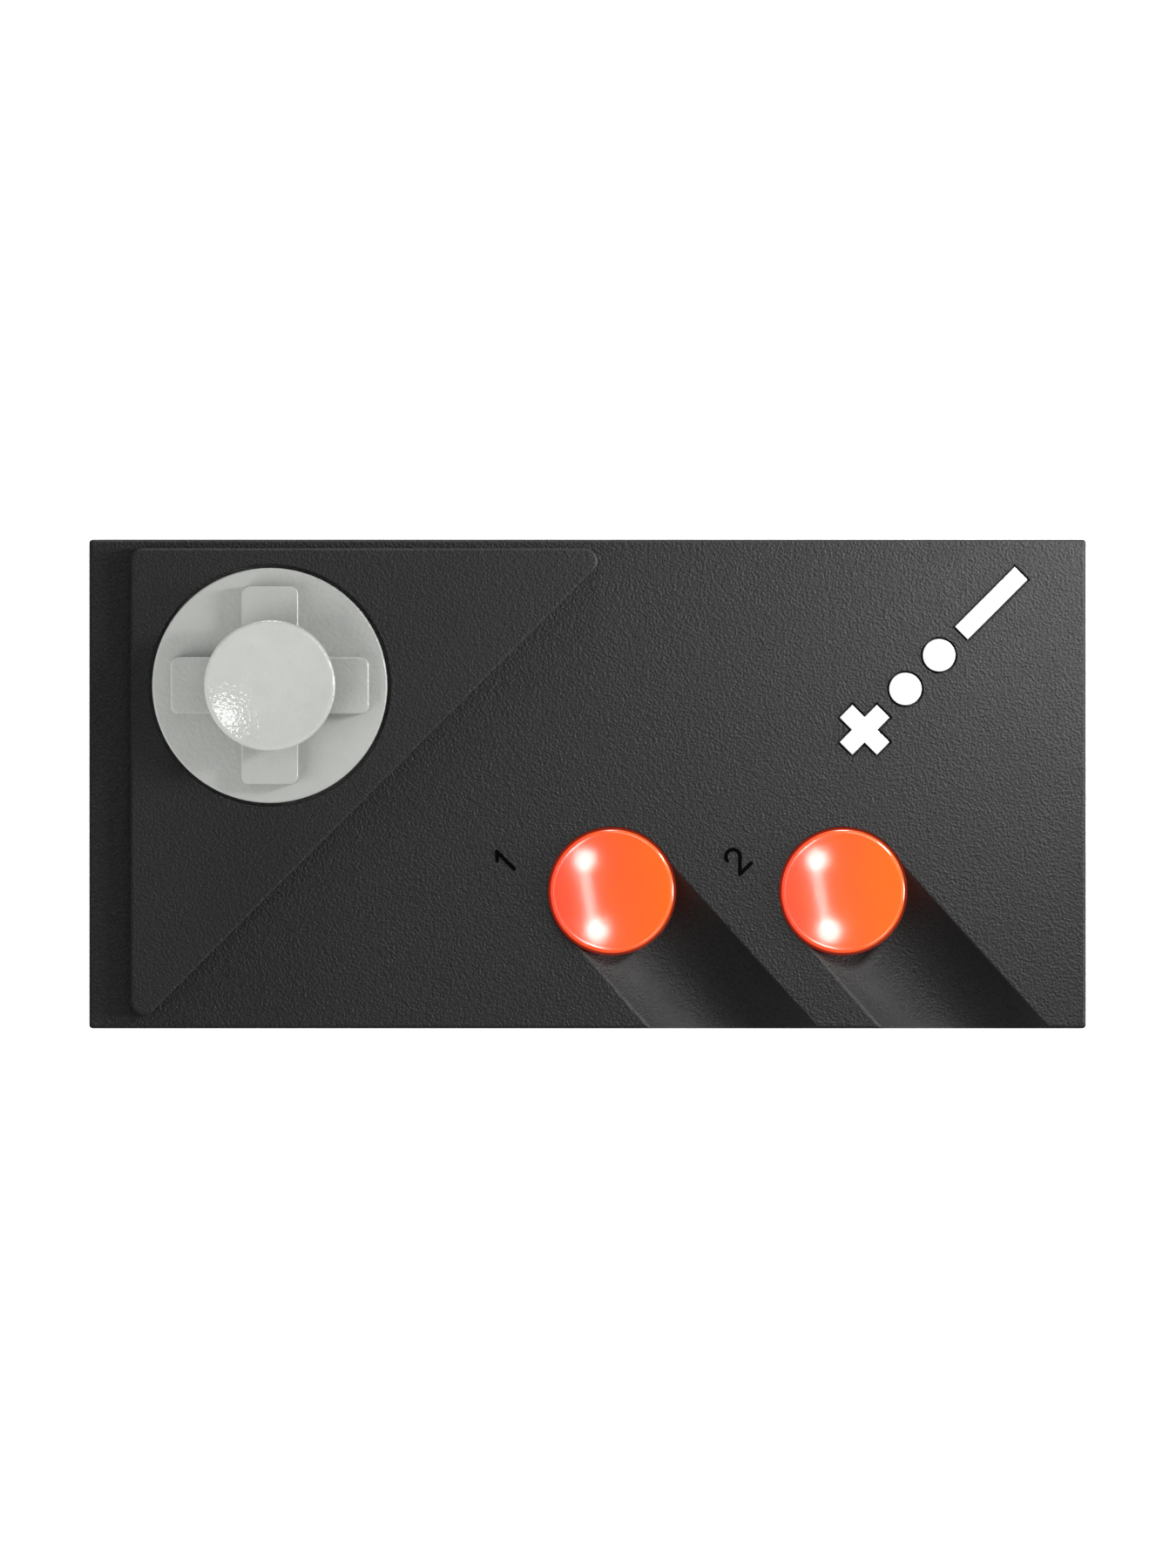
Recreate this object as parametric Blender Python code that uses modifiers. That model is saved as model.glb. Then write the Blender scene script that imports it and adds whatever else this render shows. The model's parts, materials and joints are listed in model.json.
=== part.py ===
"""Wireless two-button game controller.

A flat two-part case holds a rocking direction pad with a screw-in thumb stick, two dished fire buttons
that stand at the heads of sloping thumb channels, and the electronics that they work.
The origin is on the table under the middle of the case. +X is the player's right, +Y points away from
the player and +Z is up. All sizes are in metres.
"""

import math

import bmesh
import bpy
from mathutils import Matrix, Vector

# ------------------------------------------------------------------ overall case
BODY_LENGTH = 0.138
BODY_WIDTH = 0.0677
BASE_Z = 0.001  # underside of the case above the table
SPLIT_Z = 0.006  # where the two covers part
DECK_Z = 0.019  # main top face
WALL = 0.002
EDGE_ROUND = 0.0004
GAP = 0.0003  # between faces that touch or slide
LIP_HEIGHT = 0.001  # tongue of the bottom cover inside the top cover
LIP_WALL = 0.001

# ------------------------------------------------------------------ raised triangular panel
PANEL_RISE = 0.002
PANEL_LEFT = 0.0057  # from the case's left side
PANEL_REAR = 0.0012
PANEL_FRONT = 0.0018
PANEL_CORNER = 0.0018

# ------------------------------------------------------------------ direction pad
DPAD_FROM_LEFT = 0.0250
DPAD_FROM_REAR = 0.0202
DISC_RADIUS = 0.0163
DISC_RIM_GAP = 0.00045
DISC_PROUD = 0.0002  # disc above the panel
DISC_PLATE = 0.0018
DISC_SKIRT_WALL = 0.0015
DISC_SKIRT_DROP = 0.0037  # from the pivot down to the flange
FLANGE_REACH = 0.0009  # flange beyond the disc
FLANGE_THICK = 0.0012
PIVOT_BELOW_DISC = 0.0010  # tilt centre below the disc's face
TILT_ROOM = 0.0009  # room that the flange needs when the pad is tilted
CROSS_LENGTH = 0.0275
CROSS_WIDTH = 0.0079
CROSS_HEIGHT = 0.0022
CROSS_CORNER = 0.0010
CROSS_EDGE = 0.00025
HUB_RADIUS = 0.0050
SEAT_WALL = 0.0010
SEAT_OPEN_DEG = 50.0  # half angle of the seat's bowl
POST_RADIUS = 0.0050
LEG_RADIUS = 0.0016
LEG_SPREAD = 0.0110  # legs from the pad's axis
INSERT_RADIUS = 0.0024
INSERT_DEPTH = 0.0060
STUD_RADIUS = 0.00115
STUD_INTO_PAD = 0.0048
STUD_INTO_CAP = 0.0026

# ------------------------------------------------------------------ thumb stick cap
CAP_RADIUS = 0.0091
CAP_ABOVE_CROSS = 0.0048
CAP_RIM_ROUND = 0.0009
CAP_EDGE_THICK = 0.0019
CAP_DISH = 0.0011
NECK_RADIUS = 0.0034
NECK_FLARE = 0.0016

# ------------------------------------------------------------------ fire buttons and their channels
FIRE_FROM_RIGHT = 0.0336
FIRE_PITCH = 0.0320
FIRE_FROM_FRONT = 0.0190
FIRE_RADIUS = 0.00858
FIRE_PROUD = 0.0006
FIRE_RIM_ROUND = 0.0008
FIRE_DISH = 0.0009
FIRE_SKIN = 0.0015
FIRE_FLANGE_REACH = 0.0013
FIRE_FLANGE_THICK = 0.0012
FIRE_PLUNGER_RADIUS = 0.0022
SLEEVE_WALL = 0.0015
CHANNEL_HALF_WIDTH = 0.0086
CHANNEL_HEAD_DEPTH = 0.0036
CHANNEL_SLOPE = 0.12
CHANNEL_HEADING_DEG = -48.3
CHANNEL_STEPS = 12  # across the channel

# ------------------------------------------------------------------ case screws and feet
BOSS_FROM_SIDE = 0.0065
BOSS_RADIUS = 0.0034
SCREW_RADIUS = 0.0012
SCREW_HEAD_RADIUS = 0.0024
SCREW_HEAD_THICK = 0.0015
SCREW_RECESS = 0.0022  # depth of the head's counterbore
SCREW_GRIP = 0.0060  # thread length in the top cover
DRIVE_RADIUS = 0.0011
DRIVE_DEPTH = 0.0008
FOOT_RADIUS = 0.0050
FOOT_THICK = 0.0020
FOOT_EDGE = 0.0005
FOOT_FROM_END = 0.0170
FOOT_FROM_SIDE = 0.0100

# ------------------------------------------------------------------ circuit board
BOARD_THICK = 0.0016
STANDOFF_HEIGHT = 0.0021
STANDOFF_RADIUS = 0.0026
BOARD_INSET = 0.0080  # board's ends inside the case's ends
BOARD_SIDE_INSET = 0.0044
BOARD_SCREW_RADIUS = 0.0008
BOARD_HEAD_RADIUS = 0.0017
BOARD_HEAD_THICK = 0.0010
MAT_THICK = 0.0008
DPAD_MAT_RADIUS = 0.0152
DOME_FOOT = 0.0030
DOME_TOP = 0.0022
FIRE_MAT_WIDTH = 0.0130
FIRE_MAT_MARGIN = 0.0065
DOME_DRIVE_GAP = 0.0003

# ------------------------------------------------------------------ components on the board
BATTERY_LENGTH = 0.036
BATTERY_WIDTH = BODY_WIDTH - 0.0417
BATTERY_THICK = 0.0055
BATTERY_ROUND = 0.0012
BATTERY_FROM_RIGHT = 0.023
BATTERY_FROM_REAR = 0.0095
FOAM_THICK = 0.0008
SHIELD_SIZE = (0.0120, 0.0120, 0.0018)
SHIELD_TO_BATTERY = 0.0020
CHIP_SIZE = (0.0080, 0.0080, 0.0010)
CHARGER_SIZE = (0.0040, 0.0040, 0.0010)
SOCKET_SIZE = (0.0045, 0.0080, 0.0038)
SOCKET_TO_BATTERY = 0.0065
PLUG_SHELL = 0.0006
LEAD_RADIUS = 0.0005
LEAD_PITCH = 0.0020
USB_WIDTH = 0.00894
USB_HEIGHT = 0.0032
USB_DEPTH = 0.0073
USB_WALL = 0.0003
USB_BACK = 0.0010
USB_SETBACK = 0.0006
USB_TONGUE = (0.0067, 0.0045, 0.0007)

# ------------------------------------------------------------------ rear edge keys and light
KEY_OFFSET = 0.024  # each side of the charging socket
KEY_LENGTH = 0.0090
KEY_HEIGHT = 0.0030
KEY_FLANGE = 0.0005
KEY_FLANGE_THICK = 0.0011
KEY_TRAVEL = 0.0006
SWITCH_SIZE = (0.0060, 0.0036, 0.0034)
SWITCH_NUB = (0.0026, 0.0010, 0.0016)
LIGHT_OFFSET = -0.012
LIGHT_RADIUS = 0.0010
LED_SIZE = (0.0016, 0.0010, 0.0012)

# ------------------------------------------------------------------ raised mark beside the buttons
MARK_FROM_RIGHT = 0.0211
MARK_FROM_REAR = 0.0168
MARK_HEADING_DEG = 45.0
MARK_HEIGHT = 0.0076
MARK_STROKE = 0.0028
MARK_DOT_RADIUS = 0.0024
MARK_BAR_LENGTH = 0.0120
MARK_SPACE = 0.0018
MARK_PROUD = 0.0003
MARK_RECESS = 0.0008

FINE, MEDIUM, COARSE, SMALL = 64, 32, 16, 12  # sides of a round shape
ARC_STEPS = 4

# ------------------------------------------------------------------ levels and places that follow
FLOOR_Z = BASE_Z + WALL
CEILING_Z = DECK_Z - WALL
TOP_COVER_Z = SPLIT_Z + GAP
PANEL_Z = DECK_Z + PANEL_RISE
DISC_Z = PANEL_Z + DISC_PROUD
PIVOT_Z = DISC_Z - PIVOT_BELOW_DISC
CROSS_Z = DISC_Z + CROSS_HEIGHT
BOARD_Z = FLOOR_Z + STANDOFF_HEIGHT + GAP
BOARD_TOP = BOARD_Z + BOARD_THICK
PART_Z = BOARD_TOP + GAP  # underside of what stands on the board
REAR_Y = BODY_WIDTH / 2
FRONT_Y = -BODY_WIDTH / 2
RIGHT_X = BODY_LENGTH / 2
LEFT_X = -BODY_LENGTH / 2
DPAD = Vector((LEFT_X + DPAD_FROM_LEFT, REAR_Y - DPAD_FROM_REAR))
FIRE_HOLE = FIRE_RADIUS + GAP
FIRE_SPOTS = [
    Vector((RIGHT_X - FIRE_FROM_RIGHT - FIRE_PITCH, FRONT_Y + FIRE_FROM_FRONT)),
    Vector((RIGHT_X - FIRE_FROM_RIGHT, FRONT_Y + FIRE_FROM_FRONT)),
]
BOSS_SPOTS = [
    Vector((x * (RIGHT_X - BOSS_FROM_SIDE), y * (REAR_Y - BOSS_FROM_SIDE)))
    for x in (-1, 1)
    for y in (-1, 1)
]
FOOT_SPOTS = [
    Vector((x * (RIGHT_X - FOOT_FROM_END), y * (REAR_Y - FOOT_FROM_SIDE)))
    for x in (-1, 1)
    for y in (-1, 1)
]
BOARD_SCREW_SPOTS = [
    Vector((LEFT_X + 0.017, FRONT_Y + 0.0120)),
    Vector((DPAD.x + 0.0270, REAR_Y - 0.0085)),
    Vector((RIGHT_X - 0.0130, FRONT_Y + 0.0280)),
    Vector((FIRE_SPOTS[0].x + 0.0100, FRONT_Y + 0.0070)),
]
HALF_PI = math.pi / 2


# ------------------------------------------------------------------ scene and helpers
def clear_scene():
    for obj in list(bpy.data.objects):
        bpy.data.objects.remove(obj)


def new_collection(name):
    made = bpy.data.collections.new(name)
    bpy.context.scene.collection.children.link(made)
    return made


clear_scene()
PARTS = new_collection("game_controller")
CUTTERS = new_collection("cutters")


def put_in(obj, collection):
    for old in list(obj.users_collection):
        old.objects.unlink(obj)
    collection.objects.link(obj)
    return obj


def make_material(name, rgb, roughness, metallic=0.0):
    made = bpy.data.materials.new(name)
    made.use_nodes = True
    shader = made.node_tree.nodes["Principled BSDF"]
    shader.inputs["Base Color"].default_value = (*rgb, 1.0)
    shader.inputs["Roughness"].default_value = roughness
    shader.inputs["Metallic"].default_value = metallic
    return made


BLACK_PLASTIC = make_material("black_plastic", (0.040, 0.040, 0.041), 0.55)
GREY_PLASTIC = make_material("grey_plastic", (0.42, 0.43, 0.41), 0.42)
CAP_PLASTIC = make_material("cap_plastic", (0.52, 0.54, 0.50), 0.25)
ORANGE_PLASTIC = make_material("orange_plastic", (0.95, 0.12, 0.02), 0.15)
WHITE_PLASTIC = make_material("white_plastic", (0.80, 0.80, 0.80), 0.35)
BLACK_RUBBER = make_material("black_rubber", (0.020, 0.020, 0.020), 0.80)
SILICONE = make_material("silicone", (0.35, 0.36, 0.36), 0.60)
BOARD_GREEN = make_material("board_green", (0.02, 0.16, 0.07), 0.40)
CHIP_BLACK = make_material("chip_black", (0.015, 0.015, 0.016), 0.45)
STEEL = make_material("steel", (0.60, 0.60, 0.62), 0.30, 1.0)
BRASS = make_material("brass", (0.78, 0.57, 0.22), 0.35, 1.0)
BATTERY_FILM = make_material("battery_film", (0.55, 0.56, 0.58), 0.30)
FOAM = make_material("foam", (0.05, 0.05, 0.05), 0.90)
IVORY = make_material("connector_ivory", (0.75, 0.72, 0.62), 0.50)
RED_LEAD = make_material("red_lead", (0.55, 0.02, 0.02), 0.40)
BLACK_LEAD = make_material("black_lead", (0.02, 0.02, 0.02), 0.40)
CLEAR = make_material("clear_plastic", (0.80, 0.84, 0.88), 0.10)
SEAT_PLASTIC = make_material("seat_plastic", (0.70, 0.68, 0.62), 0.35)


def keep(obj, material, sharp_deg=35.0):
    """Makes obj a part: its material, its shading and its place in the parts collection."""
    obj.data.materials.clear()
    obj.data.materials.append(material)
    obj.data.shade_smooth()
    obj.data.set_sharp_from_angle(angle=math.radians(sharp_deg))
    return put_in(obj, PARTS)


def helper(obj):
    """Makes obj a cutter or a joined shape, which is left out of the model."""
    obj.hide_render = True
    obj.display_type = "WIRE"
    return put_in(obj, CUTTERS)


def realise(obj):
    """Replaces obj's modifiers, or the curve that it is, by the mesh that they make."""
    bpy.context.view_layer.update()
    graph = bpy.context.evaluated_depsgraph_get()
    mesh = bpy.data.meshes.new_from_object(obj.evaluated_get(graph))
    if obj.type == "MESH":
        obj.modifiers.clear()
        obj.data = mesh
        return obj
    work = bmesh.new()
    work.from_mesh(mesh)
    bmesh.ops.remove_doubles(work, verts=work.verts, dist=1e-6)
    work.to_mesh(mesh)
    work.free()
    name, world = obj.name, obj.matrix_world.copy()
    bpy.data.objects.remove(obj)
    made = bpy.data.objects.new(name, mesh)
    bpy.context.scene.collection.objects.link(made)
    made.matrix_world = world
    return made


def boolean(obj, other, operation):
    modifier = obj.modifiers.new(f"{operation.lower()}_{other.name}", "BOOLEAN")
    modifier.operation = operation
    modifier.solver = "EXACT"
    modifier.object = helper(other)


def cut(obj, *cutters):
    for cutter in cutters:
        boolean(obj, cutter, "DIFFERENCE")
    return obj


def join(obj, *others):
    for other in others:
        boolean(obj, other, "UNION")
    return obj


def bevel(obj, width, segments=2, angle_deg=40.0):
    modifier = obj.modifiers.new("bevel", "BEVEL")
    modifier.width = width
    modifier.segments = segments
    modifier.limit_method = "ANGLE"
    modifier.angle_limit = math.radians(angle_deg)
    modifier.use_clamp_overlap = True
    return obj


def box(name, low, high):
    """A box between two corners."""
    low, high = Vector(low), Vector(high)
    bpy.ops.mesh.primitive_cube_add(size=1.0)
    obj = bpy.context.active_object
    obj.name = name
    obj.data.transform(Matrix.Diagonal((*(high - low), 1.0)))
    obj.location = (low + high) / 2
    return obj


def block(name, centre_xy, size, z):
    """A box of size (x, y, z) that stands at height z."""
    half_x, half_y = size[0] / 2, size[1] / 2
    low = (centre_xy[0] - half_x, centre_xy[1] - half_y, z)
    return box(name, low, (centre_xy[0] + half_x, centre_xy[1] + half_y, z + size[2]))


def rod(name, spot, radius, z_low, z_high, sides=MEDIUM):
    """An upright cylinder."""
    bpy.ops.mesh.primitive_cylinder_add(
        vertices=sides,
        radius=radius,
        depth=z_high - z_low,
        location=(spot[0], spot[1], (z_low + z_high) / 2),
    )
    obj = bpy.context.active_object
    obj.name = name
    return obj


def rod_along_y(name, x, z, radius, y_low, y_high, sides=COARSE):
    bpy.ops.mesh.primitive_cylinder_add(
        vertices=sides,
        radius=radius,
        depth=y_high - y_low,
        location=(x, (y_low + y_high) / 2, z),
        rotation=(HALF_PI, 0.0, 0.0),
    )
    obj = bpy.context.active_object
    obj.name = name
    return obj


def arc(centre, radius, start_deg, end_deg, steps=ARC_STEPS):
    """Points along an arc in a plane, both ends included."""
    points = []
    for i in range(steps + 1):
        angle = math.radians(start_deg + (end_deg - start_deg) * i / steps)
        points.append((centre[0] + radius * math.cos(angle), centre[1] + radius * math.sin(angle)))
    return points


def turned(name, spot, profile, sides=MEDIUM, ring=False):
    """A solid turned about the upright line through spot, from (radius, height) pairs down its side."""
    mesh = bpy.data.meshes.new(name)
    count = len(profile)
    edges = [(i, i + 1) for i in range(count - 1)] + ([(count - 1, 0)] if ring else [])
    mesh.from_pydata([(r, 0.0, z) for r, z in profile], edges, [])
    obj = bpy.data.objects.new(name, mesh)
    bpy.context.scene.collection.objects.link(obj)
    obj.location = (spot[0], spot[1], 0.0)
    screw = obj.modifiers.new("turn", "SCREW")
    screw.axis = "Z"
    screw.steps = screw.render_steps = sides
    screw.use_merge_vertices = True
    screw.merge_threshold = 1e-6
    return realise(obj)


def rounded(corners, radius, steps=ARC_STEPS):
    """A polygon given anticlockwise with each corner turned into an arc."""
    points = []
    count = len(corners)
    for i, corner in enumerate(corners):
        here = Vector(corner)
        back = (Vector(corners[i - 1]) - here).normalized()
        ahead = (Vector(corners[(i + 1) % count]) - here).normalized()
        half_angle = back.angle(ahead) / 2
        centre = here + (back + ahead).normalized() * radius / math.sin(half_angle)
        start = here + back * radius / math.tan(half_angle) - centre
        turn = math.pi - 2 * half_angle
        for k in range(steps + 1):
            angle = turn * k / steps
            points.append(centre + Matrix.Rotation(angle, 2) @ start)
    return points


def rectangle(width, depth, centre=(0.0, 0.0)):
    """Corners of a rectangle, anticlockwise."""
    return [
        (centre[0] + x * width / 2, centre[1] + y * depth / 2)
        for x, y in ((-1, -1), (1, -1), (1, 1), (-1, 1))
    ]


def plate(name, outline, z_low, z_high):
    """A flat piece of the given outline between two heights, as a mesh."""
    curve = bpy.data.curves.new(name, "CURVE")
    curve.dimensions = "2D"
    curve.fill_mode = "BOTH"
    curve.extrude = (z_high - z_low) / 2
    spline = curve.splines.new("POLY")
    spline.points.add(len(outline) - 1)
    for point, (x, y) in zip(spline.points, outline):
        point.co = (x, y, 0.0, 1.0)
    spline.use_cyclic_u = True
    obj = bpy.data.objects.new(name, curve)
    bpy.context.scene.collection.objects.link(obj)
    obj.location.z = (z_low + z_high) / 2
    return realise(obj)


def plate_facing_y(name, outline_xz, y_low, y_high):
    """A flat piece whose outline lies in the XZ plane, between two depths."""
    obj = plate(name, [(x, -z) for x, z in outline_xz], y_low, y_high)
    obj.matrix_world = Matrix.Rotation(-HALF_PI, 4, "X") @ obj.matrix_world
    return obj


def case_box(name, inset, z_low, z_high):
    return box(
        name,
        (LEFT_X + inset, FRONT_Y + inset, z_low),
        (RIGHT_X - inset, REAR_Y - inset, z_high),
    )


# ------------------------------------------------------------------ top cover
def panel_outline(inset):
    """The triangle with its right angle at the left rear corner, moved inwards by inset."""
    left = LEFT_X + PANEL_LEFT + inset
    rear = REAR_Y - PANEL_REAR - inset
    tip_beyond = math.sqrt(2) * PANEL_CORNER  # an acute corner's arc stops this far short of its point
    leg = BODY_WIDTH - PANEL_REAR - PANEL_FRONT + tip_beyond - (2 + math.sqrt(2)) * inset
    return rounded([(left, rear), (left, rear - leg), (left + leg, rear)], PANEL_CORNER)


def channel(name, spot, grow):
    """A trough from the button's axis out through the front face, of one width and ever deeper. It is grown
    by grow all round. Across it, the floor is an arc that meets the deck at both edges."""
    heading = math.radians(CHANNEL_HEADING_DEG)
    along = Vector((math.cos(heading), math.sin(heading)))
    across = Vector((-along.y, along.x))
    half_width = CHANNEL_HALF_WIDTH + grow
    reach = (FIRE_FROM_FRONT + 1.2 * half_width * abs(along.x)) / abs(along.y)
    points = []
    for s in (0.0, reach):
        depth = CHANNEL_HEAD_DEPTH + CHANNEL_SLOPE * s + grow
        radius = (half_width**2 + depth**2) / (2 * depth)
        spread = math.degrees(math.asin(min(1.0, half_width / radius)))
        if depth > radius:
            spread = 180 - spread
        floor = arc((0.0, DECK_Z - depth + radius), radius, -90 - spread, -90 + spread, CHANNEL_STEPS)
        section = [(-half_width, DECK_Z + WALL)] + floor + [(half_width, DECK_Z + WALL)]
        points += [(*(spot + along * s + across * a), z) for a, z in section]
    count = len(points) // 2
    faces = [tuple(range(count))[::-1], tuple(range(count, 2 * count))]
    faces += [(i, (i + 1) % count, count + (i + 1) % count, count + i) for i in range(count)]
    mesh = bpy.data.meshes.new(name)
    mesh.from_pydata(points, [], faces)
    work = bmesh.new()
    work.from_mesh(mesh)
    bmesh.ops.triangulate(work, faces=work.faces)
    bmesh.ops.recalc_face_normals(work, faces=work.faces)
    work.to_mesh(mesh)
    work.free()
    obj = bpy.data.objects.new(name, mesh)
    bpy.context.scene.collection.objects.link(obj)
    return obj


def sleeve_bottom():
    """The sleeve ends just below the channel's underside, so that the button's flange clears both."""
    drop = CHANNEL_HEAD_DEPTH + CHANNEL_SLOPE * (FIRE_HOLE + FIRE_FLANGE_REACH) + WALL
    return DECK_Z - drop - 0.0010


SLEEVE_Z = sleeve_bottom()
KEY_Z = SPLIT_Z + LIP_HEIGHT + GAP + KEY_HEIGHT / 2 + KEY_FLANGE + GAP
USB_Z = PART_Z + USB_HEIGHT / 2
LIGHT_Z = PART_Z + LED_SIZE[2] / 2 + GAP


def pill(width, height, x, z):
    return rounded(rectangle(width, height, (x, z)), height / 2 - 1e-6, steps=8)


def mark_shapes(grow):
    """The raised mark, a cross, two dots and a bar in a row along its heading, as (name, outline) pairs."""
    turn = Matrix.Rotation(math.radians(MARK_HEADING_DEG), 2)
    middle = Vector((RIGHT_X - MARK_FROM_RIGHT, REAR_Y - MARK_FROM_REAR))
    dot_width = 2 * MARK_DOT_RADIUS
    total = MARK_HEIGHT + 2 * dot_width + MARK_BAR_LENGTH + 3 * MARK_SPACE
    start = -total / 2
    arm, half = MARK_HEIGHT / 2 + grow, MARK_STROKE / 2 + grow
    cross_x = start + MARK_HEIGHT / 2
    quarter = [(half, -arm), (half, -half), (arm, -half)]
    cross = []
    for k in range(4):
        cross += [Matrix.Rotation(k * HALF_PI, 2) @ Vector(p) for p in quarter]
    shapes = [("mark_cross", [Vector((cross_x, 0)) + p for p in cross])]
    for i in (1, 2):
        x = start + MARK_HEIGHT + i * MARK_SPACE + (i - 0.5) * dot_width
        ring = arc((x, 0.0), MARK_DOT_RADIUS + grow, 0, 360 * (1 - 1 / COARSE), COARSE - 1)
        shapes.append((f"mark_dot_{i}", [Vector(p) for p in ring]))
    bar_middle = (total / 2 - MARK_BAR_LENGTH / 2, 0.0)
    bar = rectangle(MARK_BAR_LENGTH + 2 * grow, MARK_STROKE + 2 * grow, bar_middle)
    shapes.append(("mark_bar", [Vector(p) for p in bar]))
    return [(name, [middle + turn @ p for p in points]) for name, points in shapes]


def make_top_cover():
    cover = bevel(case_box("top_cover", 0.0, TOP_COVER_Z, DECK_Z), EDGE_ROUND)
    join(cover, plate("panel", panel_outline(0.0), CEILING_Z, PANEL_Z))
    cut(
        cover,
        case_box("top_cavity", WALL, BASE_Z, CEILING_Z),
        plate("panel_core", panel_outline(WALL), SPLIT_Z, PANEL_Z - WALL),
        rod("flange_room", DPAD, DISC_RADIUS + FLANGE_REACH + TILT_ROOM, SPLIT_Z, PANEL_Z - WALL, FINE),
        rod("disc_hole", DPAD, DISC_RADIUS + DISC_RIM_GAP, SPLIT_Z, PANEL_Z + WALL, FINE),
    )
    for i, spot in enumerate(FIRE_SPOTS, 1):
        shell = channel(f"channel_shell_{i}", spot, WALL)
        boolean(shell, case_box(f"channel_clip_{i}", EDGE_ROUND, SPLIT_Z, DECK_Z - EDGE_ROUND), "INTERSECT")
        join(cover, shell)
        join(cover, rod(f"sleeve_{i}", spot, FIRE_HOLE + SLEEVE_WALL, SLEEVE_Z, CEILING_Z + WALL / 2, MEDIUM))
    for i, spot in enumerate(BOSS_SPOTS, 1):
        low, high = boss_meeting() + GAP, CEILING_Z + WALL / 2
        join(cover, rod(f"top_boss_{i}", spot, BOSS_RADIUS, low, high, COARSE))
    for i, spot in enumerate(FIRE_SPOTS, 1):
        cut(cover, channel(f"channel_{i}", spot, 0.0))
        cut(cover, rod(f"fire_hole_{i}", spot, FIRE_HOLE, SPLIT_Z, DECK_Z + WALL, FINE))
    for i, spot in enumerate(BOSS_SPOTS, 1):
        top = boss_meeting() + SCREW_GRIP + GAP
        cut(cover, rod(f"pilot_{i}", spot, SCREW_RADIUS + GAP / 2, SPLIT_Z, top, COARSE))
    rear_low, rear_high = REAR_Y - 2 * WALL, REAR_Y + WALL
    usb = pill(USB_WIDTH + 2 * GAP, USB_HEIGHT + 2 * GAP, 0.0, USB_Z)
    cut(cover, plate_facing_y("usb_opening", usb, rear_low, rear_high))
    for side, name in ((-1, "power"), (1, "menu")):
        key = pill(KEY_LENGTH + 2 * GAP, KEY_HEIGHT + 2 * GAP, side * KEY_OFFSET, KEY_Z)
        cut(cover, plate_facing_y(f"{name}_opening", key, rear_low, rear_high))
    light = rod_along_y("light_opening", LIGHT_OFFSET, LIGHT_Z, LIGHT_RADIUS + GAP / 2, rear_low, rear_high)
    cut(cover, light)
    for name, outline in mark_shapes(GAP / 2):
        cut(cover, plate(f"{name}_recess", outline, DECK_Z - MARK_RECESS, DECK_Z + WALL))
    keep(cover, BLACK_PLASTIC)


# ------------------------------------------------------------------ bottom cover, screws and feet
def boss_meeting():
    """Height where a bottom boss meets a top boss."""
    return SPLIT_Z + 2 * LIP_HEIGHT


def make_bottom_cover():
    cover = bevel(case_box("bottom_cover", 0.0, BASE_Z, SPLIT_Z), EDGE_ROUND)
    join(cover, case_box("lip", WALL + GAP, FLOOR_Z, SPLIT_Z + LIP_HEIGHT))
    cut(cover, case_box("bottom_cavity", WALL + GAP + LIP_WALL, FLOOR_Z, DECK_Z))
    for i, spot in enumerate(BOSS_SPOTS, 1):
        join(cover, rod(f"bottom_boss_{i}", spot, BOSS_RADIUS, FLOOR_Z - WALL / 2, boss_meeting(), COARSE))
    for i, spot in enumerate(BOARD_SCREW_SPOTS, 1):
        low, high = FLOOR_Z - WALL / 2, FLOOR_Z + STANDOFF_HEIGHT
        join(cover, rod(f"standoff_{i}", spot, STANDOFF_RADIUS, low, high, COARSE))
    join(cover, rod("pivot_post", DPAD, POST_RADIUS, FLOOR_Z - WALL / 2, PIVOT_Z - HUB_RADIUS, MEDIUM))
    bpy.ops.mesh.primitive_uv_sphere_add(
        segments=MEDIUM,
        ring_count=COARSE,
        radius=HUB_RADIUS + SEAT_WALL + 2 * GAP,
        location=(DPAD.x, DPAD.y, PIVOT_Z),
    )
    cup = bpy.context.active_object
    cup.name = "post_cup"
    cut(cover, cup)
    for i, spot in enumerate(BOSS_SPOTS, 1):
        head_room = rod(f"head_room_{i}", spot, SCREW_HEAD_RADIUS + GAP, 0.0, BASE_Z + SCREW_RECESS, COARSE)
        shank_room = rod(f"shank_room_{i}", spot, SCREW_RADIUS + GAP / 2, 0.0, DECK_Z, COARSE)
        cut(cover, head_room, shank_room)
    for i, spot in enumerate(BOARD_SCREW_SPOTS, 1):
        radius = BOARD_SCREW_RADIUS + GAP / 2
        pilot = rod(f"board_pilot_{i}", spot, radius, FLOOR_Z - WALL / 4, DECK_Z, COARSE)
        cut(cover, pilot)
    for i, spot in enumerate(FOOT_SPOTS, 1):
        pocket = rod(f"foot_pocket_{i}", spot, FOOT_RADIUS + GAP, 0.0, FOOT_THICK + GAP, COARSE)
        cut(cover, pocket)
    keep(cover, BLACK_PLASTIC)


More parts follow.
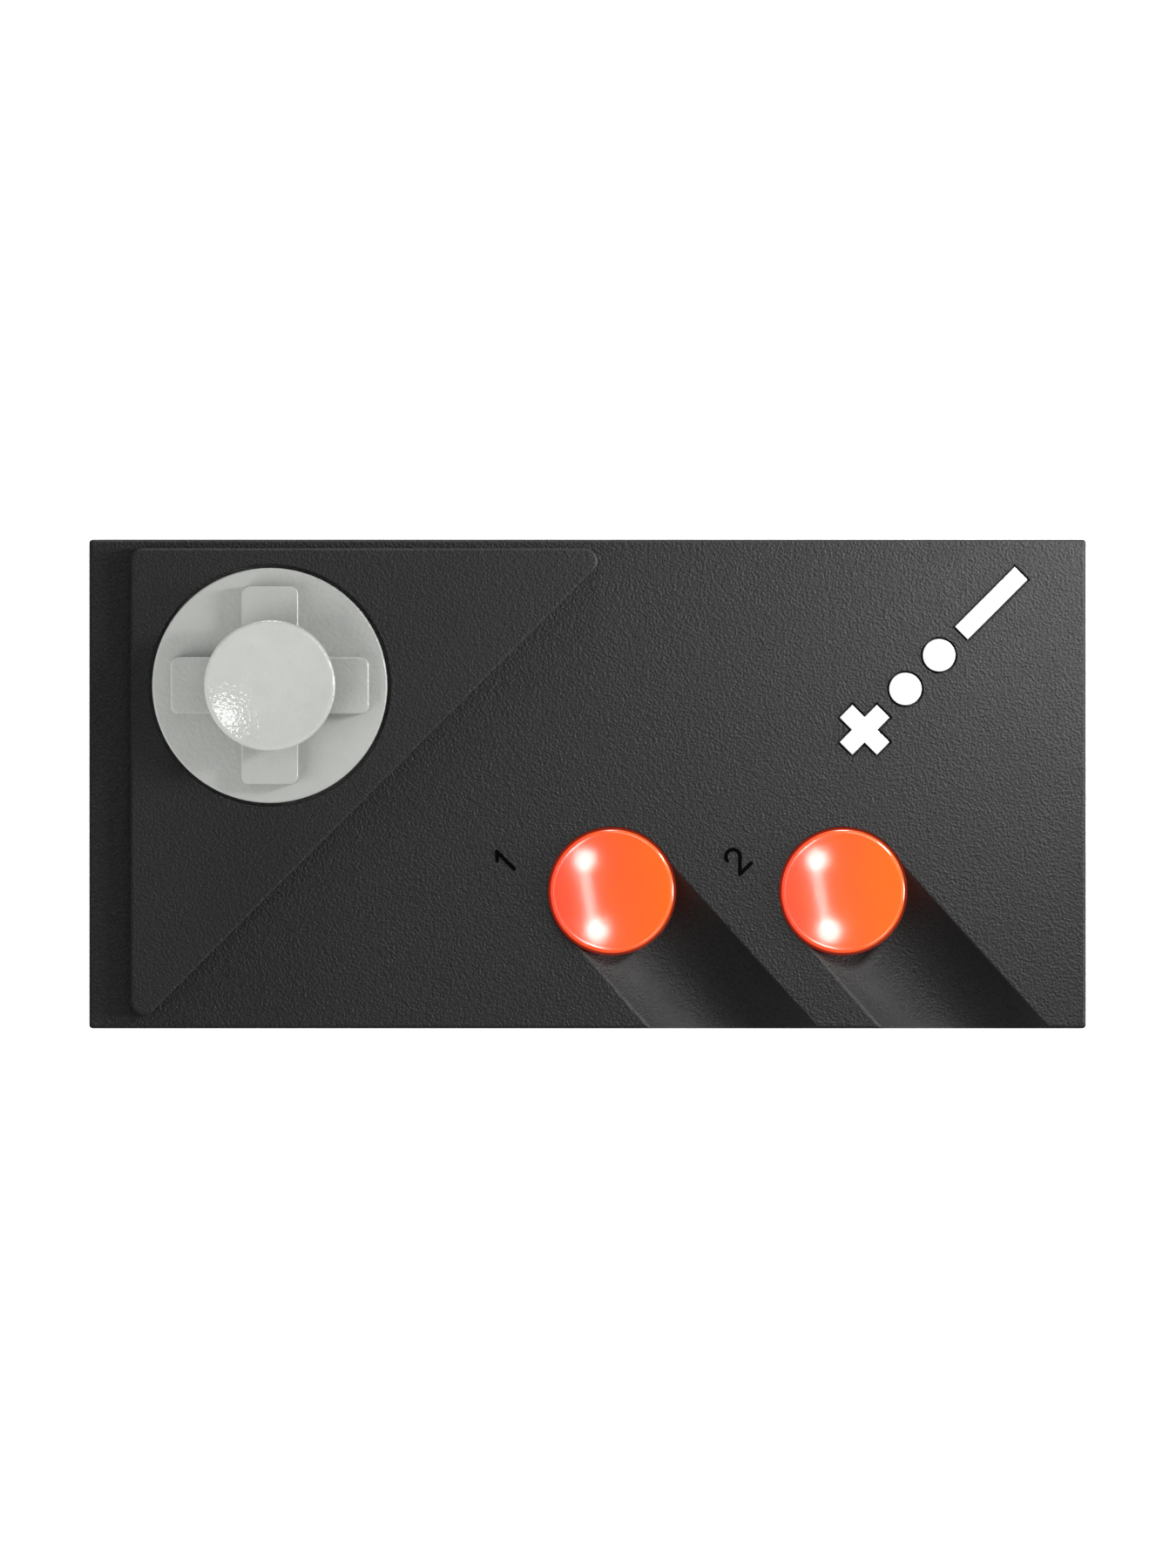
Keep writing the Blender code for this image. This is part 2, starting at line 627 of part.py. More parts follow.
def make_screw(name, spot, head_low, head_radius, head_thick, shank_radius, shank_length, head_up):
    """A pan-head screw with a hexagonal drive. head_up says which way its head faces."""
    way = 1.0 if head_up else -1.0
    head_high = head_low + head_thick
    face = head_high if head_up else head_low
    root = head_low if head_up else head_high
    shank_end = root - way * shank_length
    tip = shank_end + way * shank_radius / 2
    if head_up:
        profile = [(0.0, head_high), (head_radius * 0.75, head_high), (head_radius, root + head_thick / 2)]
        profile += [(head_radius, root), (shank_radius, root), (shank_radius, tip)]
        profile += [(shank_radius / 2, shank_end), (0.0, shank_end)]
    else:
        profile = [(0.0, shank_end), (shank_radius / 2, shank_end), (shank_radius, tip)]
        profile += [(shank_radius, root), (head_radius, root), (head_radius, root - head_thick / 2)]
        profile += [(head_radius * 0.75, head_low), (0.0, head_low)]
    screw = turned(name, spot, profile, SMALL)
    drive_depth = DRIVE_DEPTH * head_thick / SCREW_HEAD_THICK
    drive_low, drive_high = sorted((face + way * head_thick, face - way * drive_depth))
    drive_radius = DRIVE_RADIUS * head_radius / SCREW_HEAD_RADIUS
    cut(screw, rod(f"{name}_drive", spot, drive_radius, drive_low, drive_high, 6))
    keep(screw, STEEL)


def make_fasteners_and_feet():
    head_low = BASE_Z + SCREW_RECESS - GAP - SCREW_HEAD_THICK
    shank = boss_meeting() + SCREW_GRIP - (head_low + SCREW_HEAD_THICK)
    for i, spot in enumerate(BOSS_SPOTS, 1):
        head = (head_low, SCREW_HEAD_RADIUS, SCREW_HEAD_THICK)
        make_screw(f"case_screw_{i}", spot, *head, SCREW_RADIUS, shank, False)
    board_shank = BOARD_THICK + GAP * 2 + STANDOFF_HEIGHT * 0.8
    for i, spot in enumerate(BOARD_SCREW_SPOTS, 1):
        head = (PART_Z, BOARD_HEAD_RADIUS, BOARD_HEAD_THICK)
        make_screw(f"board_screw_{i}", spot, *head, BOARD_SCREW_RADIUS, board_shank, True)
    for i, spot in enumerate(FOOT_SPOTS, 1):
        profile = [(0.0, FOOT_THICK), (FOOT_RADIUS, FOOT_THICK), (FOOT_RADIUS, FOOT_EDGE)]
        profile += [(FOOT_RADIUS - FOOT_EDGE, 0.0), (0.0, 0.0)]
        keep(turned(f"foot_{i}", spot, profile, COARSE), BLACK_RUBBER)


# ------------------------------------------------------------------ direction pad
def rim_radius(z):
    """The disc's side lies on a sphere about the tilt centre, so that it clears its hole however it tilts."""
    return math.sqrt(DISC_RADIUS**2 - (z - PIVOT_Z) ** 2)


DOME_TOP_Z = PART_Z + MAT_THICK + 0.0021
LEG_Z = DOME_TOP_Z + DOME_DRIVE_GAP


def make_dpad():
    flange_top = PIVOT_Z - DISC_SKIRT_DROP
    flange_low = flange_top - FLANGE_THICK
    plate_low = DISC_Z - DISC_PLATE
    inner = rim_radius(flange_top) - DISC_SKIRT_WALL
    side = [DISC_Z - (DISC_Z - flange_top) * i / 4 for i in range(5)]
    profile = [(0.0, DISC_Z), (rim_radius(DISC_Z) - CROSS_EDGE, DISC_Z)]
    profile += [(rim_radius(DISC_Z - CROSS_EDGE), DISC_Z - CROSS_EDGE)]
    profile += [(rim_radius(z), z) for z in side[1:]]
    flange = DISC_RADIUS + FLANGE_REACH
    profile += [(flange, flange_top), (flange, flange_low), (inner, flange_low), (inner, plate_low)]
    hub_at_plate = math.degrees(math.asin((plate_low - PIVOT_Z) / HUB_RADIUS))
    profile += arc((0.0, PIVOT_Z), HUB_RADIUS, hub_at_plate, -90, 7)[:-1]
    profile.append((0.0, PIVOT_Z - HUB_RADIUS))
    pad = turned("dpad_disc", DPAD, profile, FINE)
    for k, sides in enumerate(((CROSS_LENGTH, CROSS_WIDTH), (CROSS_WIDTH, CROSS_LENGTH)), 2):
        outline = rounded(rectangle(*sides, DPAD), CROSS_CORNER)
        join(pad, plate(f"dpad_bar_{k}", outline, DISC_Z - DISC_PLATE / k, CROSS_Z))
    for k in range(4):
        spot = DPAD + Matrix.Rotation(k * HALF_PI, 2) @ Vector((LEG_SPREAD, 0.0))
        join(pad, rod(f"dpad_leg_{k + 1}", spot, LEG_RADIUS, LEG_Z, DISC_Z - DISC_PLATE / 4, COARSE))
    socket_low = CROSS_Z - INSERT_DEPTH - GAP
    socket = rod("insert_socket", DPAD, INSERT_RADIUS + GAP, socket_low, CROSS_Z + WALL, COARSE)
    cut(pad, socket)
    keep(pad, GREY_PLASTIC)

    insert_top = CROSS_Z - GAP
    insert_low = CROSS_Z - INSERT_DEPTH
    bore = STUD_RADIUS + GAP / 2
    ring = [(bore, insert_top), (INSERT_RADIUS, insert_top), (INSERT_RADIUS, insert_low), (bore, insert_low)]
    keep(turned("stick_insert", DPAD, ring, COARSE, ring=True), BRASS)


def make_pivot_seat():
    """A bowl between the pad's ball hub and the post's cup, of the same centre as both."""
    inner, outer = HUB_RADIUS + GAP, HUB_RADIUS + GAP + SEAT_WALL
    edge = -90 + SEAT_OPEN_DEG
    profile = arc((0.0, PIVOT_Z), inner, -90, edge, 6)
    profile[0] = (0.0, PIVOT_Z - inner)
    profile += arc((0.0, PIVOT_Z), outer, edge, -90, 6)
    profile[-1] = (0.0, PIVOT_Z - outer)
    keep(turned("pivot_seat", DPAD, profile, MEDIUM), SEAT_PLASTIC)


def make_stick():
    """The dished thumb cap on its flared neck, and the threaded stud that is moulded into it."""
    top = CROSS_Z + CAP_ABOVE_CROSS
    neck_low = CROSS_Z + GAP
    edge_low = top - CAP_EDGE_THICK
    round_at = (CAP_RADIUS - CAP_RIM_ROUND, top - CAP_RIM_ROUND)
    dish_edge = CAP_RADIUS - CAP_RIM_ROUND
    profile = [(r, top - CAP_DISH * (1 - (r / dish_edge) ** 2)) for r in dish_steps(dish_edge)]
    profile += arc(round_at, CAP_RIM_ROUND, 90, 0, 4)
    under = 0.0006
    profile += arc((CAP_RADIUS - under, edge_low + under), under, 0, -90, 3)
    flare = arc((NECK_RADIUS + NECK_FLARE, edge_low - NECK_FLARE), NECK_FLARE, 90, 180, 4)
    profile += flare + [(NECK_RADIUS, neck_low), (0.0, neck_low)]
    cap = turned("stick_cap", DPAD, profile, MEDIUM)
    socket_top = CROSS_Z + STUD_INTO_CAP + GAP
    cut(cap, rod("stud_socket", DPAD, STUD_RADIUS + GAP / 2, CROSS_Z - WALL, socket_top, COARSE))
    keep(cap, CAP_PLASTIC)
    stud = rod("stick_stud", DPAD, STUD_RADIUS, CROSS_Z - STUD_INTO_PAD, CROSS_Z + STUD_INTO_CAP, COARSE)
    keep(bevel(stud, GAP, 1), STEEL)


def dish_steps(edge, count=5):
    """Radii from the axis to the dish's edge, the last one left for the rim's arc."""
    return [edge * i / count for i in range(count)]


# ------------------------------------------------------------------ fire buttons
FIRE_FLANGE_TOP = SLEEVE_Z - GAP
FIRE_FLANGE_LOW = FIRE_FLANGE_TOP - FIRE_FLANGE_THICK
FIRE_PLUNGER_Z = FIRE_FLANGE_LOW - 0.0002


def make_fire_button(name, spot):
    top = DECK_Z + FIRE_PROUD
    dish_edge = FIRE_RADIUS - FIRE_RIM_ROUND
    profile = [(r, top - FIRE_DISH * (1 - (r / dish_edge) ** 2)) for r in dish_steps(dish_edge)]
    profile += arc((dish_edge, top - FIRE_RIM_ROUND), FIRE_RIM_ROUND, 90, 0, 4)
    flange = FIRE_HOLE + FIRE_FLANGE_REACH
    inner = FIRE_RADIUS - FIRE_SKIN
    roof = top - FIRE_DISH - FIRE_SKIN
    profile += [(FIRE_RADIUS, FIRE_FLANGE_TOP), (flange, FIRE_FLANGE_TOP), (flange, FIRE_FLANGE_LOW)]
    profile += [(inner, FIRE_FLANGE_LOW), (inner, roof), (FIRE_PLUNGER_RADIUS, roof)]
    profile += [(FIRE_PLUNGER_RADIUS, FIRE_PLUNGER_Z), (0.0, FIRE_PLUNGER_Z)]
    keep(turned(name, spot, profile, MEDIUM), ORANGE_PLASTIC)


# ------------------------------------------------------------------ board and switch mats
def make_board():
    half_x, half_y = RIGHT_X - BOARD_INSET, REAR_Y - BOARD_SIDE_INSET
    board = box("main_board", (-half_x, -half_y, BOARD_Z), (half_x, half_y, BOARD_TOP))
    for i, spot in enumerate(BOSS_SPOTS, 1):
        cut(board, rod(f"board_notch_{i}", spot, BOSS_RADIUS + 2 * GAP, BASE_Z, DECK_Z, COARSE))
    cut(board, rod("post_hole", DPAD, POST_RADIUS + GAP, BASE_Z, DECK_Z, MEDIUM))
    for i, spot in enumerate(BOARD_SCREW_SPOTS, 1):
        cut(board, rod(f"board_hole_{i}", spot, BOARD_SCREW_RADIUS + GAP / 2, BASE_Z, DECK_Z, COARSE))
    keep(board, BOARD_GREEN)


def dome(name, spot, top_z):
    """A rubber dome that stands on its mat."""
    base_z = PART_Z + MAT_THICK
    foot_z = base_z - MAT_THICK / 2
    profile = [(0.0, top_z), (DOME_TOP, top_z), (DOME_FOOT, foot_z), (0.0, foot_z)]
    return turned(name, spot, profile, COARSE)


def make_mats():
    top = PART_Z + MAT_THICK
    mat = rod("dpad_mat", DPAD, DPAD_MAT_RADIUS, PART_Z, top, MEDIUM)
    for k in range(4):
        spot = DPAD + Matrix.Rotation(k * HALF_PI, 2) @ Vector((LEG_SPREAD, 0.0))
        join(mat, dome(f"dpad_dome_{k + 1}", spot, DOME_TOP_Z))
    cut(mat, rod("mat_hole", DPAD, POST_RADIUS + 2 * GAP, BASE_Z, DECK_Z, MEDIUM))
    keep(mat, SILICONE)
    for i, spot in enumerate(FIRE_SPOTS, 1):
        outline = rounded(rectangle(FIRE_MAT_WIDTH + FIRE_MAT_MARGIN, FIRE_MAT_WIDTH, spot), 0.002)
        fire_mat = plate(f"fire_mat_{i}", outline, PART_Z, top)
        join(fire_mat, dome(f"fire_dome_{i}", spot, FIRE_PLUNGER_Z - DOME_DRIVE_GAP))
        keep(fire_mat, SILICONE)


# ------------------------------------------------------------------ electronics
def smooth_route(points, samples):
    """A Catmull-Rom curve through the points."""
    points = [Vector(p) for p in points]
    ends = [2 * points[0] - points[1]] + points + [2 * points[-1] - points[-2]]
    route = []
    for i in range(len(points) - 1):
        a, b, c, d = ends[i : i + 4]
        for k in range(samples):
            t = k / samples
            square = 2 * a - 5 * b + 4 * c - d
            cube = 3 * b - a - 3 * c + d
            route.append(0.5 * (2 * b + (c - a) * t + square * t**2 + cube * t**3))
    return route + [points[-1]]


def wire(name, points, radius, material):
    curve = bpy.data.curves.new(name, "CURVE")
    curve.dimensions = "3D"
    curve.bevel_depth = radius
    curve.bevel_resolution = 2
    curve.use_fill_caps = True
    route = smooth_route(points, 4)
    spline = curve.splines.new("POLY")
    spline.points.add(len(route) - 1)
    for point, co in zip(spline.points, route):
        point.co = (*co, 1.0)
    obj = bpy.data.objects.new(name, curve)
    bpy.context.scene.collection.objects.link(obj)
    keep(realise(obj), material)


def make_battery():
    right = RIGHT_X - BATTERY_FROM_RIGHT
    left = right - BATTERY_LENGTH
    rear = REAR_Y - BATTERY_FROM_REAR
    front = rear - BATTERY_WIDTH
    middle = Vector(((left + right) / 2, (front + rear) / 2))
    keep(block("battery_foam", middle, (BATTERY_LENGTH * 0.8, BATTERY_WIDTH * 0.7, FOAM_THICK), PART_Z), FOAM)
    low = PART_Z + FOAM_THICK + GAP
    pack = box("battery_pack", (left, front, low), (right, rear, low + BATTERY_THICK))
    keep(bevel(pack, BATTERY_ROUND, 3), BATTERY_FILM)

    x = right + SOCKET_TO_BATTERY + SOCKET_SIZE[0] / 2
    socket_spot = Vector((x, middle.y))
    socket = block("battery_socket", socket_spot, SOCKET_SIZE, PART_Z)
    pocket_low = (x - SOCKET_SIZE[0], middle.y - SOCKET_SIZE[1] / 2 + PLUG_SHELL, PART_Z + PLUG_SHELL)
    pocket_high = (x + SOCKET_SIZE[0] / 2 - PLUG_SHELL, middle.y + SOCKET_SIZE[1] / 2 - PLUG_SHELL, DECK_Z)
    cut(socket, box("socket_pocket", pocket_low, pocket_high))
    keep(socket, IVORY)
    plug_low = (x - SOCKET_SIZE[0] / 2 + GAP, pocket_low[1] + GAP, pocket_low[2] + GAP)
    plug_high = (pocket_high[0] - GAP, pocket_high[1] - GAP, PART_Z + SOCKET_SIZE[2] + GAP)
    keep(box("battery_plug", plug_low, plug_high), IVORY)

    wire_z = low + BATTERY_THICK / 2
    plug_face = plug_low[0] - GAP
    plug_z = (plug_low[2] + plug_high[2]) / 2
    span = plug_face - right
    for side, name, material in ((-1, "lead_black", BLACK_LEAD), (1, "lead_red", RED_LEAD)):
        y = middle.y + side * LEAD_PITCH
        start = right + GAP
        end_y = (y + middle.y) / 2
        points = [
            (start, y, wire_z),
            (start + span * 0.15, y, wire_z),
            (start + span * 0.50, (y + end_y) / 2, (wire_z + plug_z) / 2),
            (start + span * 0.85, end_y, plug_z),
            (plug_face, end_y, plug_z),
        ]
        wire(name, points, LEAD_RADIUS, material)
    shield_x = left - SHIELD_TO_BATTERY - SHIELD_SIZE[0] / 2
    keep(block("radio_shield", (shield_x, middle.y - 0.0030), SHIELD_SIZE, PART_Z), STEEL)
    keep(block("processor", (shield_x - 0.0160, middle.y - 0.0120), CHIP_SIZE, PART_Z), CHIP_BLACK)
    keep(block("charger_chip", (0.0, REAR_Y - 0.0115), CHARGER_SIZE, PART_Z), CHIP_BLACK)


def make_usb():
    mouth = REAR_Y - USB_SETBACK
    back = mouth - USB_DEPTH
    shell = plate_facing_y("usb_shell", pill(USB_WIDTH, USB_HEIGHT, 0.0, USB_Z), back, mouth)
    hollow = pill(USB_WIDTH - 2 * USB_WALL, USB_HEIGHT - 2 * USB_WALL, 0.0, USB_Z)
    cut(shell, plate_facing_y("usb_hollow", hollow, back + USB_BACK, mouth + WALL))
    keep(shell, STEEL)
    width, length, thick = USB_TONGUE
    start = back + USB_BACK + GAP
    low = (-width / 2, start, USB_Z - thick / 2)
    keep(box("usb_tongue", low, (width / 2, start + length, USB_Z + thick / 2)), CHIP_BLACK)


def make_rear_keys():
    face = REAR_Y
    flange_out = REAR_Y - WALL - GAP
    flange_in = flange_out - KEY_FLANGE_THICK
    nub_tip = flange_in - KEY_TRAVEL - GAP
    for side, name in ((-1, "power"), (1, "menu")):
        x = side * KEY_OFFSET
        key = plate_facing_y(f"{name}_key", pill(KEY_LENGTH, KEY_HEIGHT, x, KEY_Z), flange_in, face)
        flange = pill(KEY_LENGTH + 2 * KEY_FLANGE, KEY_HEIGHT + 2 * KEY_FLANGE, x, KEY_Z)
        join(key, plate_facing_y(f"{name}_key_flange", flange, flange_in, flange_out))
        keep(key, BLACK_PLASTIC)
        body_rear = nub_tip - SWITCH_NUB[1]
        switch = box(
            f"{name}_switch",
            (x - SWITCH_SIZE[0] / 2, body_rear - SWITCH_SIZE[1], PART_Z),
            (x + SWITCH_SIZE[0] / 2, body_rear, PART_Z + SWITCH_SIZE[2]),
        )
        nub = box(
            f"{name}_switch_nub",
            (x - SWITCH_NUB[0] / 2, body_rear - WALL / 2, KEY_Z - SWITCH_NUB[2] / 2),
            (x + SWITCH_NUB[0] / 2, nub_tip, KEY_Z + SWITCH_NUB[2] / 2),
        )
        keep(join(switch, nub), STEEL)


def make_light():
    led_y = REAR_Y - BOARD_SIDE_INSET - LED_SIZE[1]
    led = block("status_led", (LIGHT_OFFSET, led_y), LED_SIZE, PART_Z)
    keep(led, IVORY)
    pipe_start = led_y + LED_SIZE[1] / 2 + GAP
    pipe = rod_along_y("light_pipe", LIGHT_OFFSET, LIGHT_Z, LIGHT_RADIUS, pipe_start, REAR_Y)
    keep(bevel(pipe, GAP / 2, 1), CLEAR)


def make_mark():
    for name, outline in mark_shapes(-GAP / 2):
        piece = plate(name, outline, DECK_Z - MARK_RECESS + GAP, DECK_Z + MARK_PROUD)
        keep(piece, WHITE_PLASTIC)


make_top_cover()
make_bottom_cover()
make_fasteners_and_feet()
make_dpad()
make_pivot_seat()
make_stick()
for number, fire_spot in enumerate(FIRE_SPOTS, 1):
    make_fire_button(f"fire_button_{number}", fire_spot)
make_board()
make_mats()
make_battery()
make_usb()
make_rear_keys()
make_light()
make_mark()
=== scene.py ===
"""Looks of the wireless game controller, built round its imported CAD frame.

Every visible shell, button, key, foot and screw is a finer mesh that replaces its CAD solid. The parts
inside the case stay as CAD solids and get materials. All sizes are in metres.
"""

import json
import math

import bmesh
import bpy
from mathutils import Matrix, Vector


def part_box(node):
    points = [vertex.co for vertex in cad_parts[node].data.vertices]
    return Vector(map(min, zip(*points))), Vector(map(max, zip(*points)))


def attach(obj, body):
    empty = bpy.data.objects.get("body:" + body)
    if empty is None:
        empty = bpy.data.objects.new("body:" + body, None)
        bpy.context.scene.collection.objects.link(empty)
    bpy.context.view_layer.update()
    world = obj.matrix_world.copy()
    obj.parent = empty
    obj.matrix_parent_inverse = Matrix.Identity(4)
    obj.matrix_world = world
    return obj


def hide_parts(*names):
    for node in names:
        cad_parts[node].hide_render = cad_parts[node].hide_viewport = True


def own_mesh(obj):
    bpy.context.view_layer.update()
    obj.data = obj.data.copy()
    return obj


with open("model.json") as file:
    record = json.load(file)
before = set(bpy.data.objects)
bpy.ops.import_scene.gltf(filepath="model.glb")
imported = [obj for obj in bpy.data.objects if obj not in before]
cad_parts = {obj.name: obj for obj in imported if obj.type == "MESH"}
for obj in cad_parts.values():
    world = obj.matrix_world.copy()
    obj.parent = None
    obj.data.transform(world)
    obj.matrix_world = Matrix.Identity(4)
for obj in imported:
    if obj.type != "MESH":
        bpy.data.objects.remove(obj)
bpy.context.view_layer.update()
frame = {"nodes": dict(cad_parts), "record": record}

# ------------------------------------------------------------------ sizes that the CAD also has
WALL = 0.002
GAP = 0.0003
PANEL_RISE = 0.002
PANEL_LEFT = 0.0057
PANEL_REAR = 0.0012
PANEL_FRONT = 0.0018
PANEL_CORNER = 0.0018
DISC_RIM_GAP = 0.00045
DISC_PLATE = 0.0018
PIVOT_BELOW_DISC = 0.0010
FLANGE_REACH = 0.0009
FLANGE_CLEARANCE = 0.0009
FLANGE_THICK = 0.0012
FLANGE_BELOW_PIVOT = 0.0037
CROSS_LENGTH = 0.0275
CROSS_WIDTH = 0.0079
CROSS_HEIGHT = 0.0022
CROSS_CORNER = 0.0011
HUB_RADIUS = 0.0050
LEG_FROM_MIDDLE = 0.0110
LEG_RADIUS = 0.0016
LEG_EDGE = 0.0002
CAP_RIM_ROUND = 0.0005
CAP_EDGE_THICK = 0.0019
CAP_DISH = 0.0016
NECK_RADIUS = 0.0034
NECK_FLARE = 0.0016
FIRE_FLANGE_REACH = 0.0013
FIRE_FLANGE_THICK = 0.0012
FIRE_RIM_ROUND = 0.00045
FIRE_DISH = 0.0009
FIRE_SKIN = 0.0015
FIRE_PLUNGER_PROUD = 0.0002
FIRE_PLUNGER_RADIUS = 0.0022
SLEEVE_WALL = 0.0015
CHANNEL_HALF_WIDTH = 0.0086
CHANNEL_HEAD_DEPTH = 0.0036
CHANNEL_SLOPE = 0.12
CHANNEL_HEADING_DEG = -48.3
CHANNEL_LIP = 0.0015
SCREW_ROOM = 0.0027
SHANK_ROOM = 0.00135
SCREW_RECESS = 0.0022
BOSS_WALL = 0.0012
LIP_HEIGHT = 0.001
LIP_WALL = 0.001
MARK_HEIGHT = 0.0076
MARK_STROKE = 0.0028
MARK_DOT_RADIUS = 0.0024
MARK_BAR_LENGTH = 0.0120
MARK_SPACE = 0.0018
MARK_RECESS = 0.0008
MARK_HEADING_DEG = 45.0
MARK_FROM_RIGHT = 0.0211
MARK_FROM_REAR = 0.0168
HALF_PI = math.pi / 2

# ------------------------------------------------------------------ places read from the frame
TOP_LOW, TOP_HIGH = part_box("top_cover")
BOTTOM_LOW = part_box("bottom_cover")[0]
DISC_LOW, DISC_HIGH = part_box("dpad_disc")
CAP_LOW, CAP_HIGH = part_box("stick_cap")
SPLIT_Z = TOP_LOW.z - GAP
PANEL_Z = TOP_HIGH.z
DECK_Z = PANEL_Z - PANEL_RISE
CEILING_Z = DECK_Z - WALL
BASE_Z = BOTTOM_LOW.z
FLOOR_Z = BASE_Z + WALL
LEFT_X, RIGHT_X = TOP_LOW.x, TOP_HIGH.x
FRONT_Y, REAR_Y = TOP_LOW.y, TOP_HIGH.y
BODY_WIDTH = REAR_Y - FRONT_Y
CROSS_Z = DISC_HIGH.z
DISC_Z = CROSS_Z - CROSS_HEIGHT
PIVOT_Z = DISC_Z - PIVOT_BELOW_DISC
DPAD = ((DISC_LOW + DISC_HIGH) / 2).xy
FLANGE_RADIUS = (DISC_HIGH.x - DISC_LOW.x) / 2
DISC_RADIUS = FLANGE_RADIUS - FLANGE_REACH
DISC_HOLE = DISC_RADIUS + DISC_RIM_GAP
FLANGE_TOP = PIVOT_Z - FLANGE_BELOW_PIVOT
CAP_RADIUS = (CAP_HIGH.x - CAP_LOW.x) / 2
CAP_Z = CAP_HIGH.z


def centre_of(node):
    low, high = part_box(node)
    return (low + high) / 2


def outer_radius(node):
    low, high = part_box(node)
    return (high.x - low.x) / 2


FIRE_SPOTS = [centre_of(f"fire_button_{i}").xy for i in (1, 2)]
FIRE_FLANGE = outer_radius("fire_button_1")
FIRE_HOLE = FIRE_FLANGE - FIRE_FLANGE_REACH
FIRE_RADIUS = FIRE_HOLE - GAP
FIRE_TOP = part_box("fire_button_1")[1].z
FIRE_PLUNGER_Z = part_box("fire_button_1")[0].z
FIRE_FLANGE_LOW = FIRE_PLUNGER_Z + FIRE_PLUNGER_PROUD
SLEEVE_Z = FIRE_FLANGE_LOW + FIRE_FLANGE_THICK + GAP
SCREW_SPOTS = [centre_of(f"case_screw_{i}").xy for i in (1, 2, 3, 4)]
FOOT_SPOTS = [centre_of(f"foot_{i}").xy for i in (1, 2, 3, 4)]
FOOT_RADIUS = outer_radius("foot_1")
FOOT_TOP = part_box("foot_1")[1].z
USB = centre_of("usb_shell")
KEYS = {name: centre_of(f"{name}_key") for name in ("power", "menu")}
LIGHT = centre_of("light_pipe")
MARK_MIDDLE = Vector((RIGHT_X - MARK_FROM_RIGHT, REAR_Y - MARK_FROM_REAR))


# ------------------------------------------------------------------ node helpers
class Nodes:
    """A short way to lay out one material's shader nodes."""

    def __init__(self, name):
        self.material = bpy.data.materials.new(name)
        self.material.use_nodes = True
        self.tree = self.material.node_tree
        self.shader = self.tree.nodes["Principled BSDF"]
        coords = self.tree.nodes.new("ShaderNodeTexCoord")
        self.where = coords.outputs["Object"]

    def link(self, source, target):
        self.tree.links.new(source, target)

    def stretched(self, scale):
        node = self.tree.nodes.new("ShaderNodeMapping")
        node.inputs["Scale"].default_value = scale
        self.link(self.where, node.inputs["Vector"])
        return node.outputs["Vector"]

    def noise(self, cell, detail=2.0, roughness=0.5, distortion=0.0, where=None):
        node = self.tree.nodes.new("ShaderNodeTexNoise")
        node.inputs["Scale"].default_value = 1.0 / cell
        node.inputs["Detail"].default_value = detail
        node.inputs["Roughness"].default_value = roughness
        node.inputs["Distortion"].default_value = distortion
        self.link(where or self.where, node.inputs["Vector"])
        return node.outputs["Fac"]

    def cells(self, cell, smooth=0.3, where=None):
        node = self.tree.nodes.new("ShaderNodeTexVoronoi")
        node.feature = "SMOOTH_F1"
        node.inputs["Scale"].default_value = 1.0 / cell
        node.inputs["Smoothness"].default_value = smooth
        self.link(where or self.where, node.inputs["Vector"])
        return node.outputs["Distance"]

    def ramp(self, value, low, high, to_low, to_high):
        node = self.tree.nodes.new("ShaderNodeMapRange")
        node.inputs["From Min"].default_value = low
        node.inputs["From Max"].default_value = high
        node.inputs["To Min"].default_value = to_low
        node.inputs["To Max"].default_value = to_high
        self.link(value, node.inputs["Value"])
        return node.outputs["Result"]

    def math(self, operation, a, b):
        node = self.tree.nodes.new("ShaderNodeMath")
        node.operation = operation
        for socket, value in zip(node.inputs, (a, b)):
            if isinstance(value, (int, float)):
                socket.default_value = value
            else:
                self.link(value, socket)
        return node.outputs["Value"]

    def mix(self, factor, first, second):
        node = self.tree.nodes.new("ShaderNodeMix")
        node.data_type = "RGBA"
        node.inputs["A"].default_value = (*first, 1.0)
        node.inputs["B"].default_value = (*second, 1.0)
        self.link(factor, node.inputs["Factor"])
        return node.outputs["Result"]

    def colour(self, factor, first, second):
        self.link(self.mix(factor, first, second), self.shader.inputs["Base Color"])

    def roughness(self, value):
        self.link(value, self.shader.inputs["Roughness"])

    def bump(self, height, distance, after=None):
        node = self.tree.nodes.new("ShaderNodeBump")
        node.inputs["Distance"].default_value = distance
        node.inputs["Strength"].default_value = 1.0
        self.link(height, node.inputs["Height"])
        if after is not None:
            self.link(after, node.inputs["Normal"])
        self.link(node.outputs["Normal"], self.shader.inputs["Normal"])
        return node.outputs["Normal"]

    def set(self, **values):
        for name, value in values.items():
            self.shader.inputs[name.replace("_", " ")].default_value = value
        return self.material


def moulded(name, base, spread, grain, depth, rough):
    """Moulded plastic: an etched grain of the given cell and depth, its colour and gloss slightly uneven."""
    n = Nodes(name)
    fine = n.noise(grain, 2.0, 0.55, 0.3)
    pebbles = n.cells(grain * 1.25, 0.4)
    height = n.math("ADD", n.math("MULTIPLY", fine, 0.8), n.math("MULTIPLY", pebbles, 0.5))
    low = tuple(c * (1 - spread) for c in base)
    high = tuple(c * (1 + spread) for c in base)
    n.colour(n.ramp(fine, 0.35, 0.65, 0.0, 1.0), low, high)
    n.roughness(n.ramp(n.noise(grain * 12, 2.0), 0.3, 0.7, rough - 0.03, rough + 0.03))
    n.bump(height, depth)
    return n


MOTTLE = 0.03


